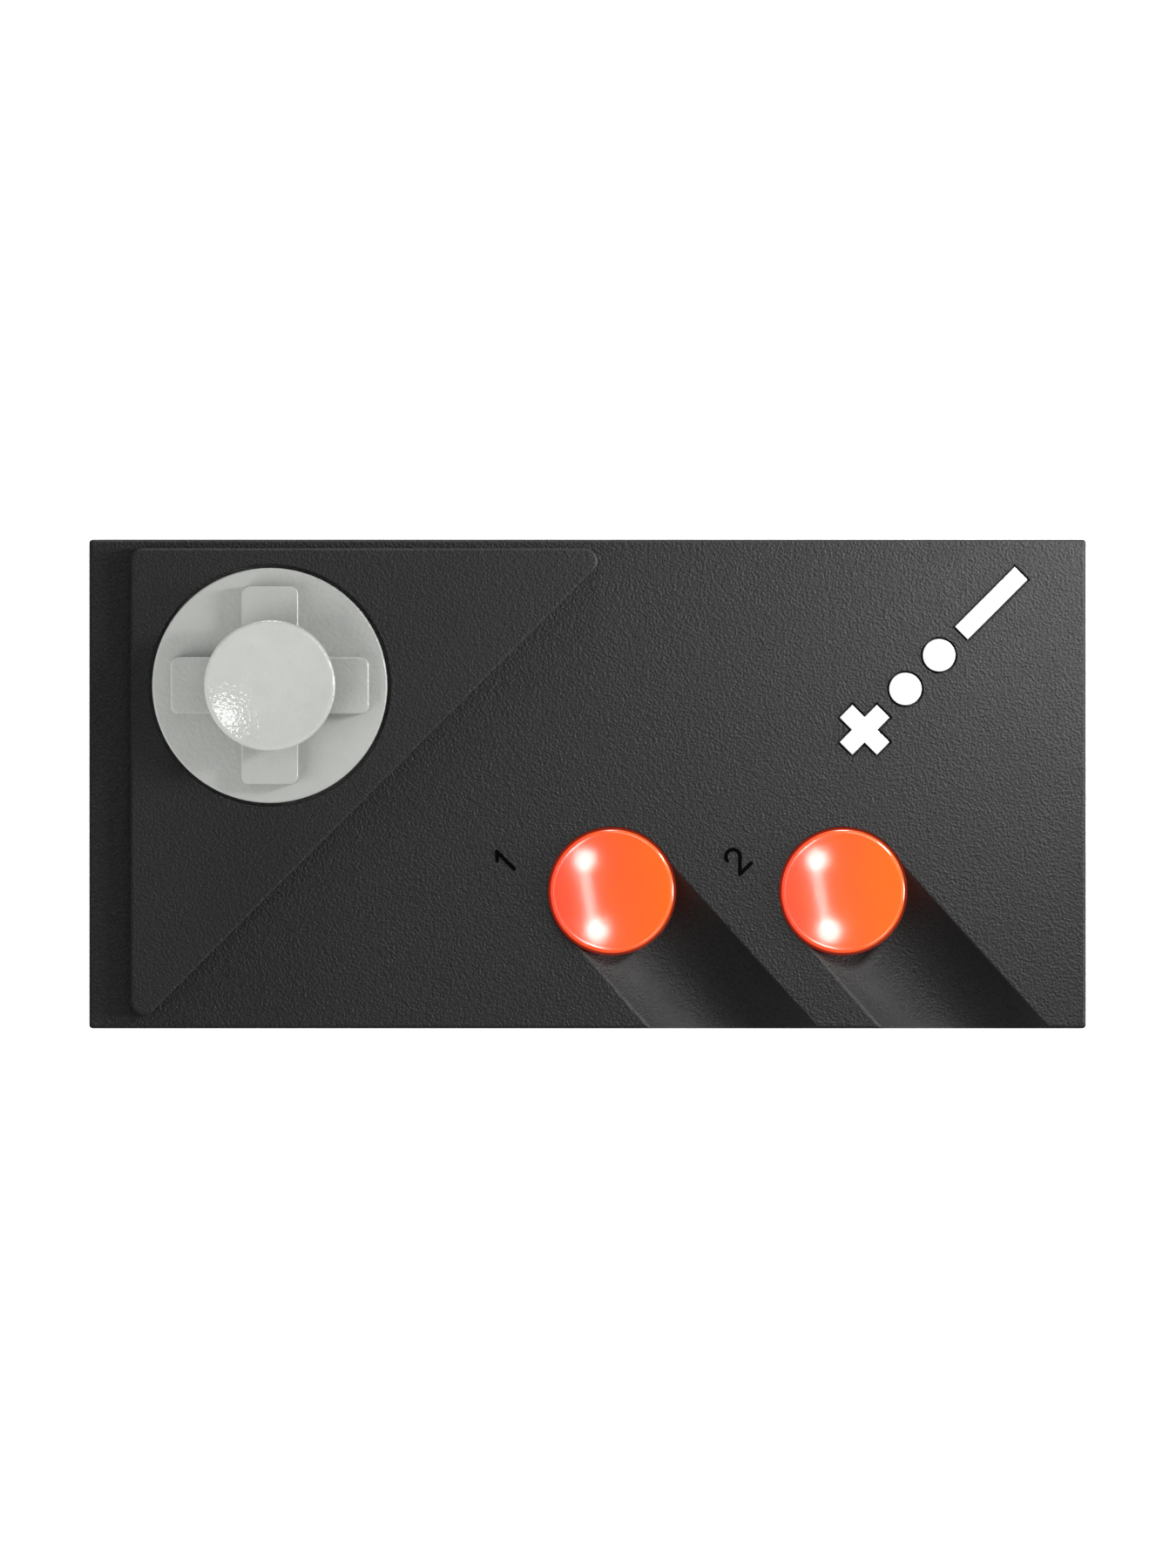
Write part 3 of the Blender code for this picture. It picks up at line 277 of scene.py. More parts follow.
def peel(name, base, cell, depth, rough, fine_depth=0.0):
    """Glossy plastic with an orange-peel surface and, at a quarter of its size, a faint tooth."""
    n = Nodes(name)
    waves = n.noise(cell, 1.0, 0.5, 0.2)
    low = tuple(c * (1 - MOTTLE) for c in base)
    high = tuple(min(1.0, c * (1 + MOTTLE)) for c in base)
    n.colour(n.ramp(n.noise(cell * 6, 3.0), 0.3, 0.7, 0.0, 1.0), low, high)
    n.roughness(n.ramp(n.noise(cell * 2, 2.0), 0.3, 0.7, rough - 0.02, rough + 0.03))
    first = n.bump(n.noise(cell * 0.25, 2.0), fine_depth) if fine_depth else None
    n.bump(waves, depth, after=first)
    return n


def brushed(name, base, rough, stretch=(1.0, 14.0, 1.0)):
    """Metal with fine lines, closer together along the axes that stretch squeezes."""
    n = Nodes(name)
    lines = n.noise(0.0004, 3.0, 0.6, where=n.stretched(stretch))
    low = tuple(c * 0.85 for c in base)
    n.colour(n.ramp(lines, 0.3, 0.7, 0.0, 1.0), low, base)
    n.roughness(n.ramp(lines, 0.3, 0.7, rough - 0.06, rough + 0.08))
    n.bump(lines, 0.000004)
    return n


def fire_material():
    """Clear orange caps, slightly translucent. Their colour is painted from redder on the left of each cap to
    yellower on its right, a painted shading for how the light falls on them, and they glow faintly, a painted
    glow.
    """
    n = Nodes("fire_orange_painted_light")
    split = n.tree.nodes.new("ShaderNodeSeparateXYZ")
    n.link(n.where, split.inputs["Vector"])
    apart = FIRE_SPOTS[1].x - FIRE_SPOTS[0].x
    past = n.math("SUBTRACT", split.outputs["X"], FIRE_SPOTS[0].x - apart / 2)
    side = n.math("MODULO", past, apart)
    across = n.ramp(side, apart / 2 - FIRE_RADIUS, apart / 2 + FIRE_RADIUS, 0.0, 1.0)
    # painted shading: the colour runs from redder on the left of each cap to yellower on its right
    painted_shade = n.math("ADD", across, n.ramp(n.noise(0.004, 2.0), 0.3, 0.7, -0.06, 0.06))
    n.colour(painted_shade, (0.98, 0.062, 0.026), (0.98, 0.125, 0.004))
    n.roughness(n.ramp(n.noise(0.003, 2.0), 0.3, 0.7, 0.10, 0.14))
    n.bump(n.noise(0.0022, 1.0), 0.000012)
    n.set(Coat_Weight=1.0, Coat_Roughness=0.17, IOR=1.49)
    # painted glow: the caps give off a faint red-orange light of their own
    n.set(Emission_Color=(1.0, 0.06, 0.01, 1.0), Emission_Strength=0.15)
    return n.set(Subsurface_Weight=0.25, Subsurface_Radius=(0.004, 0.0012, 0.0004), Subsurface_Scale=1.0)


def board_material():
    """Solder mask over faint tracks."""
    n = Nodes("board_green")
    tracks = n.cells(0.0030, 0.0, where=n.stretched((1.0, 0.25, 1.0)))
    n.colour(n.ramp(tracks, 0.25, 0.30, 0.0, 1.0), (0.010, 0.10, 0.045), (0.018, 0.16, 0.070))
    n.roughness(n.ramp(n.noise(0.001), 0.3, 0.7, 0.30, 0.40))
    n.bump(tracks, 0.00002)
    return n.set(IOR=1.5)


DECK = moulded("deck_grain", (0.0090, 0.0090, 0.0092), 0.40, 0.00030, 0.00016, 0.62)
DECK = DECK.set(Specular_IOR_Level=0.56)
PANEL = moulded("panel_grain", (0.0100, 0.0100, 0.0102), 0.40, 0.00030, 0.00012, 0.60)
PANEL = PANEL.set(Specular_IOR_Level=0.56)
KEY_PLASTIC = moulded("key_grain", (0.0075, 0.0075, 0.0077), 0.15, 0.00028, 0.00003, 0.50)
KEY_PLASTIC = KEY_PLASTIC.set(Specular_IOR_Level=0.48)
# painted shade: a near-black material for the walls of the holes, standing for the shadow in the gaps round
# the pad and fire buttons
PAINTED_SHADE_BLACK = moulded("painted_shade_black", (0.0012, 0.0012, 0.0012), 0.10, 0.00030, 0.00001, 0.80)
PAINTED_SHADE_BLACK = PAINTED_SHADE_BLACK.set(Specular_IOR_Level=0.02)
PAD_GREY = peel("pad_grey", (0.435, 0.445, 0.425), 0.0006, 0.000080, 0.34, 0.000006).set(IOR=1.46)
CAP_GREY = peel("cap_grey", (0.53, 0.545, 0.515), 0.00050, 0.000085, 0.15).set(IOR=1.5)
FIRE = fire_material()
MARK_WHITE = peel("mark_white", (0.66, 0.66, 0.655), 0.0010, 0.000010, 0.32).set(IOR=1.48)
PRINT_BLACK = peel("print_black", (0.001, 0.001, 0.001), 0.0006, 0.000004, 0.6).set(Specular_IOR_Level=0.03)
FOOT_RUBBER = moulded("foot_rubber", (0.018, 0.018, 0.018), 0.15, 0.00025, 0.00002, 0.80).set(IOR=1.5)
STEEL = brushed("plated_steel", (0.62, 0.62, 0.64), 0.30).set(Metallic=1.0)
BRASS = brushed("turned_brass", (0.78, 0.57, 0.24), 0.32, (1.0, 1.0, 18.0)).set(Metallic=1.0)
INSIDE = {
    "silicone": peel("switch_rubber", (0.33, 0.34, 0.34), 0.0008, 0.000008, 0.62).set(IOR=1.41),
    "board": board_material(),
    "chip": moulded("chip_black", (0.014, 0.014, 0.015), 0.2, 0.00015, 0.00001, 0.5).set(IOR=1.5),
    "battery": peel("battery_film", (0.54, 0.55, 0.57), 0.0030, 0.00006, 0.26).set(Metallic=0.6),
    "foam": moulded("foam_black", (0.045, 0.045, 0.045), 0.3, 0.00040, 0.0001, 0.9).set(IOR=1.4),
    "connector": peel("connector_ivory", (0.74, 0.71, 0.60), 0.0008, 0.000006, 0.45).set(IOR=1.5),
    "lead_red": peel("lead_red", (0.52, 0.02, 0.02), 0.0006, 0.000005, 0.38).set(IOR=1.5),
    "lead_black": peel("lead_black", (0.02, 0.02, 0.02), 0.0006, 0.000005, 0.38).set(IOR=1.5),
    "seat": peel("seat_acetal", (0.68, 0.66, 0.60), 0.0009, 0.000006, 0.30).set(IOR=1.48),
    "clear": peel("light_clear", (0.78, 0.83, 0.88), 0.0008, 0.000006, 0.12).set(IOR=1.49),
    "steel": STEEL,
    "brass": BRASS,
}


# ------------------------------------------------------------------ mesh helpers
def put(name, points, faces):
    """A mesh object whose faces point outwards."""
    mesh = bpy.data.meshes.new(name)
    mesh.from_pydata([tuple(p) for p in points], [], faces)
    work = bmesh.new()
    work.from_mesh(mesh)
    bmesh.ops.remove_doubles(work, verts=work.verts, dist=1e-7)
    bmesh.ops.recalc_face_normals(work, faces=work.faces)
    work.to_mesh(mesh)
    work.free()
    obj = bpy.data.objects.new(name, mesh)
    bpy.context.scene.collection.objects.link(obj)
    return obj


def arc(centre, radius, start_deg, end_deg, steps):
    points = []
    for i in range(steps + 1):
        angle = math.radians(start_deg + (end_deg - start_deg) * i / steps)
        points.append((centre[0] + radius * math.cos(angle), centre[1] + radius * math.sin(angle)))
    return points


def turned(name, spot, profile, sides=128):
    """A solid of revolution about the upright line through spot, from (radius, height) pairs."""
    points, rings = [], []
    for radius, z in profile:
        if radius < 1e-9:
            rings.append([len(points)] * sides)
            points.append((spot.x, spot.y, z))
            continue
        rings.append(list(range(len(points), len(points) + sides)))
        for k in range(sides):
            angle = 2 * math.pi * k / sides
            points.append((spot.x + radius * math.cos(angle), spot.y + radius * math.sin(angle), z))
    pairs = list(zip(rings, rings[1:]))
    if profile[0][0] > 1e-9 or profile[-1][0] > 1e-9:
        pairs.append((rings[-1], rings[0]))
    faces = []
    for upper, lower in pairs:
        for k in range(sides):
            ahead = (k + 1) % sides
            corner = [upper[k], upper[ahead], lower[ahead], lower[k]]
            face = [v for i, v in enumerate(corner) if v != corner[i - 1]]
            if len(face) > 2:
                faces.append(face)
    return put(name, points, faces)


def loft(name, rings):
    """A closed solid through rings of the same number of points."""
    count = len(rings[0])
    points = [p for ring in rings for p in ring]
    faces = [list(range(count)), [len(points) - count + i for i in range(count)]]
    for r in range(len(rings) - 1):
        base = r * count
        for i in range(count):
            ahead = (i + 1) % count
            faces.append([base + i, base + ahead, base + count + ahead, base + count + i])
    return put(name, points, faces)


def at_height(outline, z):
    return [(p[0], p[1], z) for p in outline]


def edge_steps(edge, steps=5):
    """(inset, drop) pairs down a quarter-round edge, from its foot to the top face."""
    return [
        (edge * (1 - math.cos(HALF_PI * i / steps)), edge * (1 - math.sin(HALF_PI * i / steps)))
        for i in range(steps + 1)
    ]


def softened(name, outline, z_low, z_high, edge, steps=5):
    """An upright plate with a rounded top edge. outline(inset) gives its rings."""
    rings = [at_height(outline(0.0), z_low)]
    rings += [at_height(outline(inset), z_high - drop) for inset, drop in edge_steps(edge, steps)]
    return loft(name, rings)


def rounded(corners, radius, steps):
    """An anticlockwise polygon with each corner turned into an arc. A corner may turn inwards."""
    points = []
    count = len(corners)
    for i, corner in enumerate(corners):
        here = Vector(corner)
        back = (Vector(corners[i - 1]) - here).normalized()
        ahead = (Vector(corners[(i + 1) % count]) - here).normalized()
        inwards = back.x * ahead.y - back.y * ahead.x > 0
        half_angle = back.angle(ahead) / 2
        centre = here + (back + ahead).normalized() * radius / math.sin(half_angle)
        start = here + back * radius / math.tan(half_angle) - centre
        turn = (math.pi - 2 * half_angle) * (-1 if inwards else 1)
        points += [centre + Matrix.Rotation(turn * k / steps, 2) @ start for k in range(steps + 1)]
    return points


def rectangle(width, depth, centre=(0.0, 0.0)):
    return [
        (centre[0] + x * width / 2, centre[1] + y * depth / 2)
        for x, y in ((-1, -1), (1, -1), (1, 1), (-1, 1))
    ]


def soft_box(name, low, high, edge, steps=4):
    """A box with every edge rounded, as wide as low to high."""
    bpy.ops.mesh.primitive_cube_add(size=1.0)
    obj = bpy.context.active_object
    obj.name = name
    size = high - low
    obj.data.transform(Matrix.Translation((low + high) / 2) @ Matrix.Diagonal((*size, 1.0)))
    if edge:
        bevel = obj.modifiers.new("edge", "BEVEL")
        bevel.width = edge
        bevel.segments = steps
        bevel.limit_method = "ANGLE"
        apply_modifiers(obj)
    return obj


def apply_modifiers(obj):
    graph = bpy.context.evaluated_depsgraph_get()
    mesh = bpy.data.meshes.new_from_object(obj.evaluated_get(graph))
    obj.modifiers.clear()
    old, obj.data = obj.data, mesh
    bpy.data.meshes.remove(old)
    return obj


def combine(obj, other, operation):
    """Joins, cuts or clips obj with other at once, and removes other."""
    modifier = obj.modifiers.new("combine", "BOOLEAN")
    modifier.operation = operation
    modifier.solver = "MANIFOLD"
    modifier.object = other
    bpy.context.view_layer.update()
    apply_modifiers(obj)
    bpy.data.objects.remove(other)
    return obj


def cut(obj, *cutters):
    for cutter in cutters:
        combine(obj, cutter, "DIFFERENCE")
    return obj


def join(obj, *others):
    for other in others:
        combine(obj, other, "UNION")
    return obj


def turn_to_rear(obj, y_shift=0.0):
    """Lays a plate that was built upright in (x, z) down so that its height runs towards +Y."""
    obj.data.transform(Matrix.Translation((0, y_shift, 0)) @ Matrix.Rotation(-HALF_PI, 4, "X"))
    return obj


def rear_plate(name, outline_xz, y_low, y_high, edge=0.0, flare=0.0, steps=4):
    """A plate in the XZ plane between two depths. Its rear edge is rounded, or flares as a cutter's does."""
    def flat(grow):
        return [(x, -z) for x, z in outline_xz(grow)][::-1]

    rings = [at_height(flat(0.0), y_low)]
    if flare:
        rings += [at_height(flat(g), y_high + d) for g, d in flare_steps(flare)]
    elif edge:
        rings += [at_height(flat(-i), y_high - d) for i, d in edge_steps(edge, steps)]
    else:
        rings.append(at_height(flat(0.0), y_high))
    return turn_to_rear(loft(name, rings))


FLARE_STOP_DEG = 76.0


def flare_steps(edge, steps=5):
    """(growth, rise past the face) pairs that round the mouth of a hole when they are cut out. The last one
    leaves the face at a clear angle."""
    pairs = []
    for i in range(steps + 1):
        angle = math.radians(FLARE_STOP_DEG * i / steps)
        pairs.append((edge * (1 - math.cos(angle)), edge * (math.sin(angle) - 1)))
    slope = math.radians(FLARE_STOP_DEG)
    reach = 3.0 * edge
    pairs.append((pairs[-1][0] + reach * math.sin(slope), pairs[-1][1] + reach * math.cos(slope)))
    return pairs


def hole(name, spot, radius, z_low, z_face, edge, sides=160):
    """A round cutter whose mouth at z_face gets a rounded edge."""
    profile = [(0.0, z_low), (radius, z_low)]
    profile += [(radius + g, z_face + d) for g, d in flare_steps(edge)]
    profile += [(profile[-1][0], z_face + WALL), (0.0, z_face + WALL)]
    return turned(name, spot, profile, sides)


def finish_piece(obj, body, slot, materials, *nodes, sharp_deg=32.0, weighted=False):
    """Gives a piece its body, shading and materials, and hides the CAD nodes that it stands for. Its slot is
    not used.
    """
    if not isinstance(materials, (list, tuple)):
        materials = [materials]
    obj.data.materials.clear()
    for material in materials:
        obj.data.materials.append(material)
    obj.data.shade_smooth()
    obj.data.set_sharp_from_angle(angle=math.radians(sharp_deg))
    if weighted:
        normals = obj.modifiers.new("normals", "WEIGHTED_NORMAL")
        normals.keep_sharp = True
        normals.weight = 60
    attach(obj, body)
    if nodes:
        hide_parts(*nodes)
    return obj


# ------------------------------------------------------------------ top cover
def panel_outline(inset):
    """The triangle with its right angle at the left rear corner, inset, its corner arcs kept concentric."""
    leg = BODY_WIDTH - PANEL_REAR - PANEL_FRONT + math.sqrt(2) * PANEL_CORNER
    left, rear = LEFT_X + PANEL_LEFT + inset, REAR_Y - PANEL_REAR - inset
    leg -= (2 + math.sqrt(2)) * inset
    corners = [(left, rear), (left, rear - leg), (left + leg, rear)]
    return rounded(corners, max(PANEL_CORNER - inset, 0.0002), 10)


def split_faces(obj):
    """Cuts every face into triangles, so that the twisted ones are flat before a cut."""
    work = bmesh.new()
    work.from_mesh(obj.data)
    bmesh.ops.triangulate(work, faces=work.faces)
    work.to_mesh(obj.data)
    work.free()
    return obj


def channel(name, spot, grow, edges, rows=14, steps=28):
    """A trough from the button's axis out through the front face. edges has the radii of its long edges,
    the right one and then the left one, or is empty for sharp ones."""
    heading = math.radians(CHANNEL_HEADING_DEG)
    along = Vector((math.cos(heading), math.sin(heading)))
    across = Vector((-along.y, along.x))
    half_width = CHANNEL_HALF_WIDTH + grow
    reach = (spot.y - FRONT_Y + 1.2 * half_width * abs(along.x)) / abs(along.y)
    rings = []
    for row in range(rows + 1):
        s = reach * row / rows
        depth = CHANNEL_HEAD_DEPTH + CHANNEL_SLOPE * s + grow
        radius = (half_width**2 + depth**2) / (2 * depth)
        spread = math.degrees(math.asin(min(1.0, half_width / radius)))
        trims, sides = [], []
        for size in edges:
            tangent = size * math.tan(math.radians(spread) / 2)
            trims.append(math.degrees(tangent / radius))
            stop = 180 - FLARE_STOP_DEG
            side = arc((half_width + tangent, DECK_Z - size), size, 90 + spread, stop, 6)
            lift = math.radians(90 - FLARE_STOP_DEG)
            x, z = side[-1]
            side.append((x + CHANNEL_LIP * math.cos(lift), z + CHANNEL_LIP * math.sin(lift)))
            sides.append(side)
        middle_z = DECK_Z - depth + radius
        if edges:
            floor = arc((0.0, middle_z), radius, -90 - spread + trims[1], -90 + spread - trims[0], steps)
            right = sides[0] + [(sides[0][-1][0], DECK_Z + WALL)]
            left = [(-a, z) for a, z in sides[1] + [(sides[1][-1][0], DECK_Z + WALL)]][::-1]
        else:
            floor = arc((0.0, middle_z), radius, -90 - spread, -90 + spread, steps)
            right = [(floor[-1][0], DECK_Z + WALL)]
            left = [(floor[0][0], DECK_Z + WALL)]
        section = left + floor + right
        rings.append([(*(spot + along * s + across * a), z) for a, z in section])
    return split_faces(loft(name, rings))


def pill(width, height, x, z, steps=16):
    def outline(grow):
        corners = rectangle(width + 2 * grow, height + 2 * grow, (x, z))
        return rounded(corners, height / 2 + grow - 1e-6, steps)

    return outline


def box_between(name, low, high):
    return soft_box(name, Vector(low), Vector(high), 0.0)


def inner_box(name, inset, z_low, z_high):
    return box_between(
        name,
        (LEFT_X + inset, FRONT_Y + inset, z_low),
        (RIGHT_X - inset, REAR_Y - inset, z_high),
    )


def mark_outlines():
    """(name, outline(grow)) of each shape in the raised mark, from its lower left end."""
    turn = Matrix.Rotation(math.radians(MARK_HEADING_DEG), 2)
    dot_width = 2 * MARK_DOT_RADIUS
    total = MARK_HEIGHT + 2 * dot_width + MARK_BAR_LENGTH + 3 * MARK_SPACE
    start = -total / 2

    def place(points):
        return [MARK_MIDDLE + turn @ Vector(p) for p in points]

    def cross(grow):
        arm, half = MARK_HEIGHT / 2 + grow, MARK_STROKE / 2 + grow
        middle = Vector((start + MARK_HEIGHT / 2, 0))
        points = []
        for k in range(4):
            quarter = [(half, -arm), (half, -half), (arm, -half)]
            points += [middle + Matrix.Rotation(k * HALF_PI, 2) @ Vector(p) for p in quarter]
        return place(points)

    def dot(i):
        x = start + MARK_HEIGHT + i * MARK_SPACE + (i - 0.5) * dot_width
        return lambda grow: place(arc((x, 0.0), MARK_DOT_RADIUS + grow, 0, 360 - 5, 71))

    def bar(grow):
        middle = (total / 2 - MARK_BAR_LENGTH / 2, 0.0)
        return place(rectangle(MARK_BAR_LENGTH + 2 * grow, MARK_STROKE + 2 * grow, middle))

    return [("mark_cross", cross), ("mark_dot_1", dot(1)), ("mark_dot_2", dot(2)), ("mark_bar", bar)]


CASE_EDGE = 0.0005
PANEL_EDGE = 0.0004
HOLE_EDGE = 0.00015
PORT_EDGE = 0.00025
RECESS_EDGE = 0.00030
CHANNEL_EDGES = (0.0004, 0.0008)
DECK_SLOT, PANEL_SLOT, PAINTED_SHADE_SLOT = 0, 1, 2
NEARLY = 0.00003  # slack when a face is told apart by its place


def make_case_top():
    cover = soft_box("case_top", TOP_LOW, Vector((RIGHT_X, REAR_Y, DECK_Z)), CASE_EDGE, 5)
    join(cover, softened("panel", panel_outline, CEILING_Z, PANEL_Z, PANEL_EDGE))
    room, room_top = FLANGE_RADIUS + FLANGE_CLEARANCE, PANEL_Z - WALL
    cavity = inner_box("top_cavity", WALL, BASE_Z, CEILING_Z)
    for i, spot in enumerate(FIRE_SPOTS, 1):
        cut(cavity, channel(f"channel_shell_{i}", spot, WALL, (), 6, 20))
    cut(
        cover,
        cavity,
        softened("panel_core", lambda inset: panel_outline(WALL + inset), SPLIT_Z, room_top, 0.0001, 1),
        turned("flange_room", DPAD, [(0, SPLIT_Z), (room, SPLIT_Z), (room, room_top), (0, room_top)]),
        hole("disc_hole", DPAD, DISC_HOLE, SPLIT_Z, PANEL_Z, HOLE_EDGE, 192),
    )
    for i, spot in enumerate(FIRE_SPOTS, 1):
        outer = FIRE_HOLE + SLEEVE_WALL
        low, high = SLEEVE_Z, CEILING_Z + WALL / 2
        join(cover, turned(f"sleeve_{i}", spot, [(0, low), (outer, low), (outer, high), (0, high)], 96))
    for i, spot in enumerate(FIRE_SPOTS, 1):
        cut(cover, channel(f"channel_{i}", spot, 0.0, CHANNEL_EDGES))
        cut(cover, hole(f"fire_hole_{i}", spot, FIRE_HOLE, SPLIT_Z, DECK_Z, HOLE_EDGE))
    low, high = REAR_Y - 2 * WALL, REAR_Y
    usb = pill(USB_WIDTH + 2 * GAP, USB_HEIGHT + 2 * GAP, 0.0, USB.z)
    cut(cover, rear_plate("usb_opening", usb, low, high, flare=PORT_EDGE))
    for name, key in KEYS.items():
        shape = pill(KEY_LENGTH + 2 * GAP, KEY_HEIGHT + 2 * GAP, key.x, key.z)
        cut(cover, rear_plate(f"{name}_opening", shape, low, high, flare=HOLE_EDGE))
    light = pill(2 * (LIGHT_RADIUS + GAP / 2), 2 * (LIGHT_RADIUS + GAP / 2), LIGHT.x, LIGHT.z)
    cut(cover, rear_plate("light_opening", light, low, high, flare=0.00010))
    for name, outline in mark_outlines():
        rings = [at_height(outline(GAP / 2), z) for z in (DECK_Z - MARK_RECESS, DECK_Z + WALL)]
        cut(cover, loft(f"{name}_recess", rings))
    finish_piece(cover, "housing", "case", [DECK, PANEL, PAINTED_SHADE_BLACK], "top_cover", weighted=True)
    holes = [(DPAD, DISC_HOLE, PANEL_Z)] + [(spot, FIRE_HOLE, DECK_Z) for spot in FIRE_SPOTS]
    for face in cover.data.polygons:
        face.material_index = top_cover_slot(face, holes)


def top_cover_slot(face, holes):
    """The walls of the holes get painted shade, a near-black material standing for the shadow down in the
    gaps, what rises above the deck is the panel and the rest is the deck.
    """
    middle = face.center
    if face.normal.z < 0.9:
        for spot, radius, top in holes:
            if (middle.xy - spot).length < radius + NEARLY and middle.z < top:
                return PAINTED_SHADE_SLOT
    return PANEL_SLOT if middle.z > DECK_Z + NEARLY else DECK_SLOT


# ------------------------------------------------------------------ bottom cover, feet and screws
def make_case_bottom():
    high = Vector((RIGHT_X, REAR_Y, SPLIT_Z))
    cover = soft_box("case_bottom", BOTTOM_LOW, high, CASE_EDGE, 5)
    join(cover, inner_box("lip", WALL + GAP, FLOOR_Z, SPLIT_Z + LIP_HEIGHT))
    cut(cover, inner_box("bottom_cavity", WALL + GAP + LIP_WALL, FLOOR_Z, DECK_Z))
    for i, spot in enumerate(SCREW_SPOTS, 1):
        radius = SCREW_ROOM + BOSS_WALL
        top = SPLIT_Z + 2 * LIP_HEIGHT
        boss = [(0, FLOOR_Z - WALL / 2), (radius, FLOOR_Z - WALL / 2), (radius, top), (0, top)]
        join(cover, turned(f"boss_{i}", spot, boss, 48))
        mouth = down_hole(f"head_room_{i}", spot, SCREW_ROOM, BASE_Z, BASE_Z + SCREW_RECESS, PORT_EDGE)
        shank = [(0, 0.0), (SHANK_ROOM, 0.0), (SHANK_ROOM, DECK_Z), (0, DECK_Z)]
        cut(cover, mouth, turned(f"shank_room_{i}", spot, shank, 48))
    for i, spot in enumerate(FOOT_SPOTS, 1):
        room = FOOT_RADIUS + GAP
        cut(cover, down_hole(f"foot_pocket_{i}", spot, room, BASE_Z, FOOT_TOP + GAP, RECESS_EDGE))
    finish_piece(cover, "housing", "case", DECK, "bottom_cover", weighted=True)


def down_hole(name, spot, radius, z_face, z_top, edge):
    """A round cutter that opens downwards, with a rounded mouth."""
    profile = [(0.0, z_top), (radius, z_top)]
    profile += [(radius + g, z_face - d) for g, d in flare_steps(edge)]
    profile += [(profile[-1][0], z_face - WALL), (0.0, z_face - WALL)]
    return turned(name, spot, profile, 96)


def make_feet():
    for i, spot in enumerate(FOOT_SPOTS, 1):
        edge = 0.0006
        profile = [(0.0, FOOT_TOP), (FOOT_RADIUS, FOOT_TOP)]
        profile += arc((FOOT_RADIUS - edge, edge), edge, 0, -90, 6)
        profile += [(FOOT_RADIUS * 0.72, 0.0), (FOOT_RADIUS * 0.68, 0.00025), (0.0, 0.00025)]
        foot = turned(f"rubber_foot_{i}", spot, profile, 96)
        finish_piece(foot, "housing", "foot", FOOT_RUBBER, f"foot_{i}")


def screw_profile(head_low, head_high, head_radius, shank_radius, tip_z, head_up):
    """(radius, height) pairs of a domed head on a plain shank, from the head's face to the tip."""
    face, root = (head_high, head_low) if head_up else (head_low, head_high)
    way = 1 if head_up else -1
    thick = head_high - head_low
    points = [(0.0, face)]
    for i in range(7):
        angle = HALF_PI * i / 6
        points.append((
            head_radius * (0.70 + 0.30 * math.sin(angle)),
            face - way * thick * 0.45 * (1 - math.cos(angle)),
        ))
    points += [(head_radius, root), (shank_radius, root), (shank_radius, tip_z + way * shank_radius)]
    return points + [(shank_radius * 0.4, tip_z), (0.0, tip_z)]


def make_screws():
    for kind, body_face_up in (("case", False), ("board", True)):
        for i in (1, 2, 3, 4):
            node = f"{kind}_screw_{i}"
            low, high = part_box(node)
            spot = ((low + high) / 2).xy
            radius = (high.x - low.x) / 2
            if body_face_up:
                head_low, head_high, tip, shank = high.z - 0.0010, high.z, low.z, 0.0008
            else:
                head_low, head_high, tip, shank = low.z, low.z + 0.0015, high.z, 0.0012
            profile = screw_profile(head_low, head_high, radius, shank, tip, body_face_up)
            screw = turned(f"{kind}_fastener_{i}", spot, profile, 48)
            face = head_high if body_face_up else head_low
            depth = 0.0006 if body_face_up else 0.0008
            long_half, short_half = radius * 0.55, radius * 0.13
            for k, (x, y) in enumerate(((long_half, short_half), (short_half, long_half))):
                low_corner = (spot.x - x, spot.y - y, face - depth)
                high_corner = (spot.x + x, spot.y + y, face + depth)
                cut(screw, box_between(f"drive_{k}", low_corner, high_corner))
            finish_piece(screw, "housing", "steel", STEEL, node)


# ------------------------------------------------------------------ direction pad and thumb stick
def rim_radius(z):
    return math.sqrt(DISC_RADIUS**2 - (z - PIVOT_Z) ** 2)


def cross_outline(inset):
    arm, half = CROSS_LENGTH / 2 - inset, CROSS_WIDTH / 2 - inset
    corner = CROSS_CORNER - inset
    points = []
    for k in range(4):
        quarter = [(half, -half)]
        quarter += arc((arm - corner, -half + corner), corner, -90, 0, 8)
        quarter += arc((arm - corner, half - corner), corner, 0, 90, 8)
        points += [DPAD + Matrix.Rotation(k * HALF_PI, 2) @ Vector(p) for p in quarter]
    return points


def dished(radius, top, rim, dish, steps=28, rim_steps=12):
    """(radius, height) pairs of a dish whose slope runs on into its rounded rim without a crease."""
    lean = math.atan(2 * dish / (radius - rim))
    centre = (radius - rim, top - rim)
    edge_r = centre[0] - rim * math.sin(lean)
    edge_z = centre[1] + rim * math.cos(lean)
    depth = edge_r * math.tan(lean) / 2
    points = []
    for i in range(steps):
        r = edge_r * i / steps
        points.append((r, edge_z - depth * (1 - (r / edge_r) ** 2)))
    return points + arc(centre, rim, 90 + math.degrees(lean), 0, rim_steps)


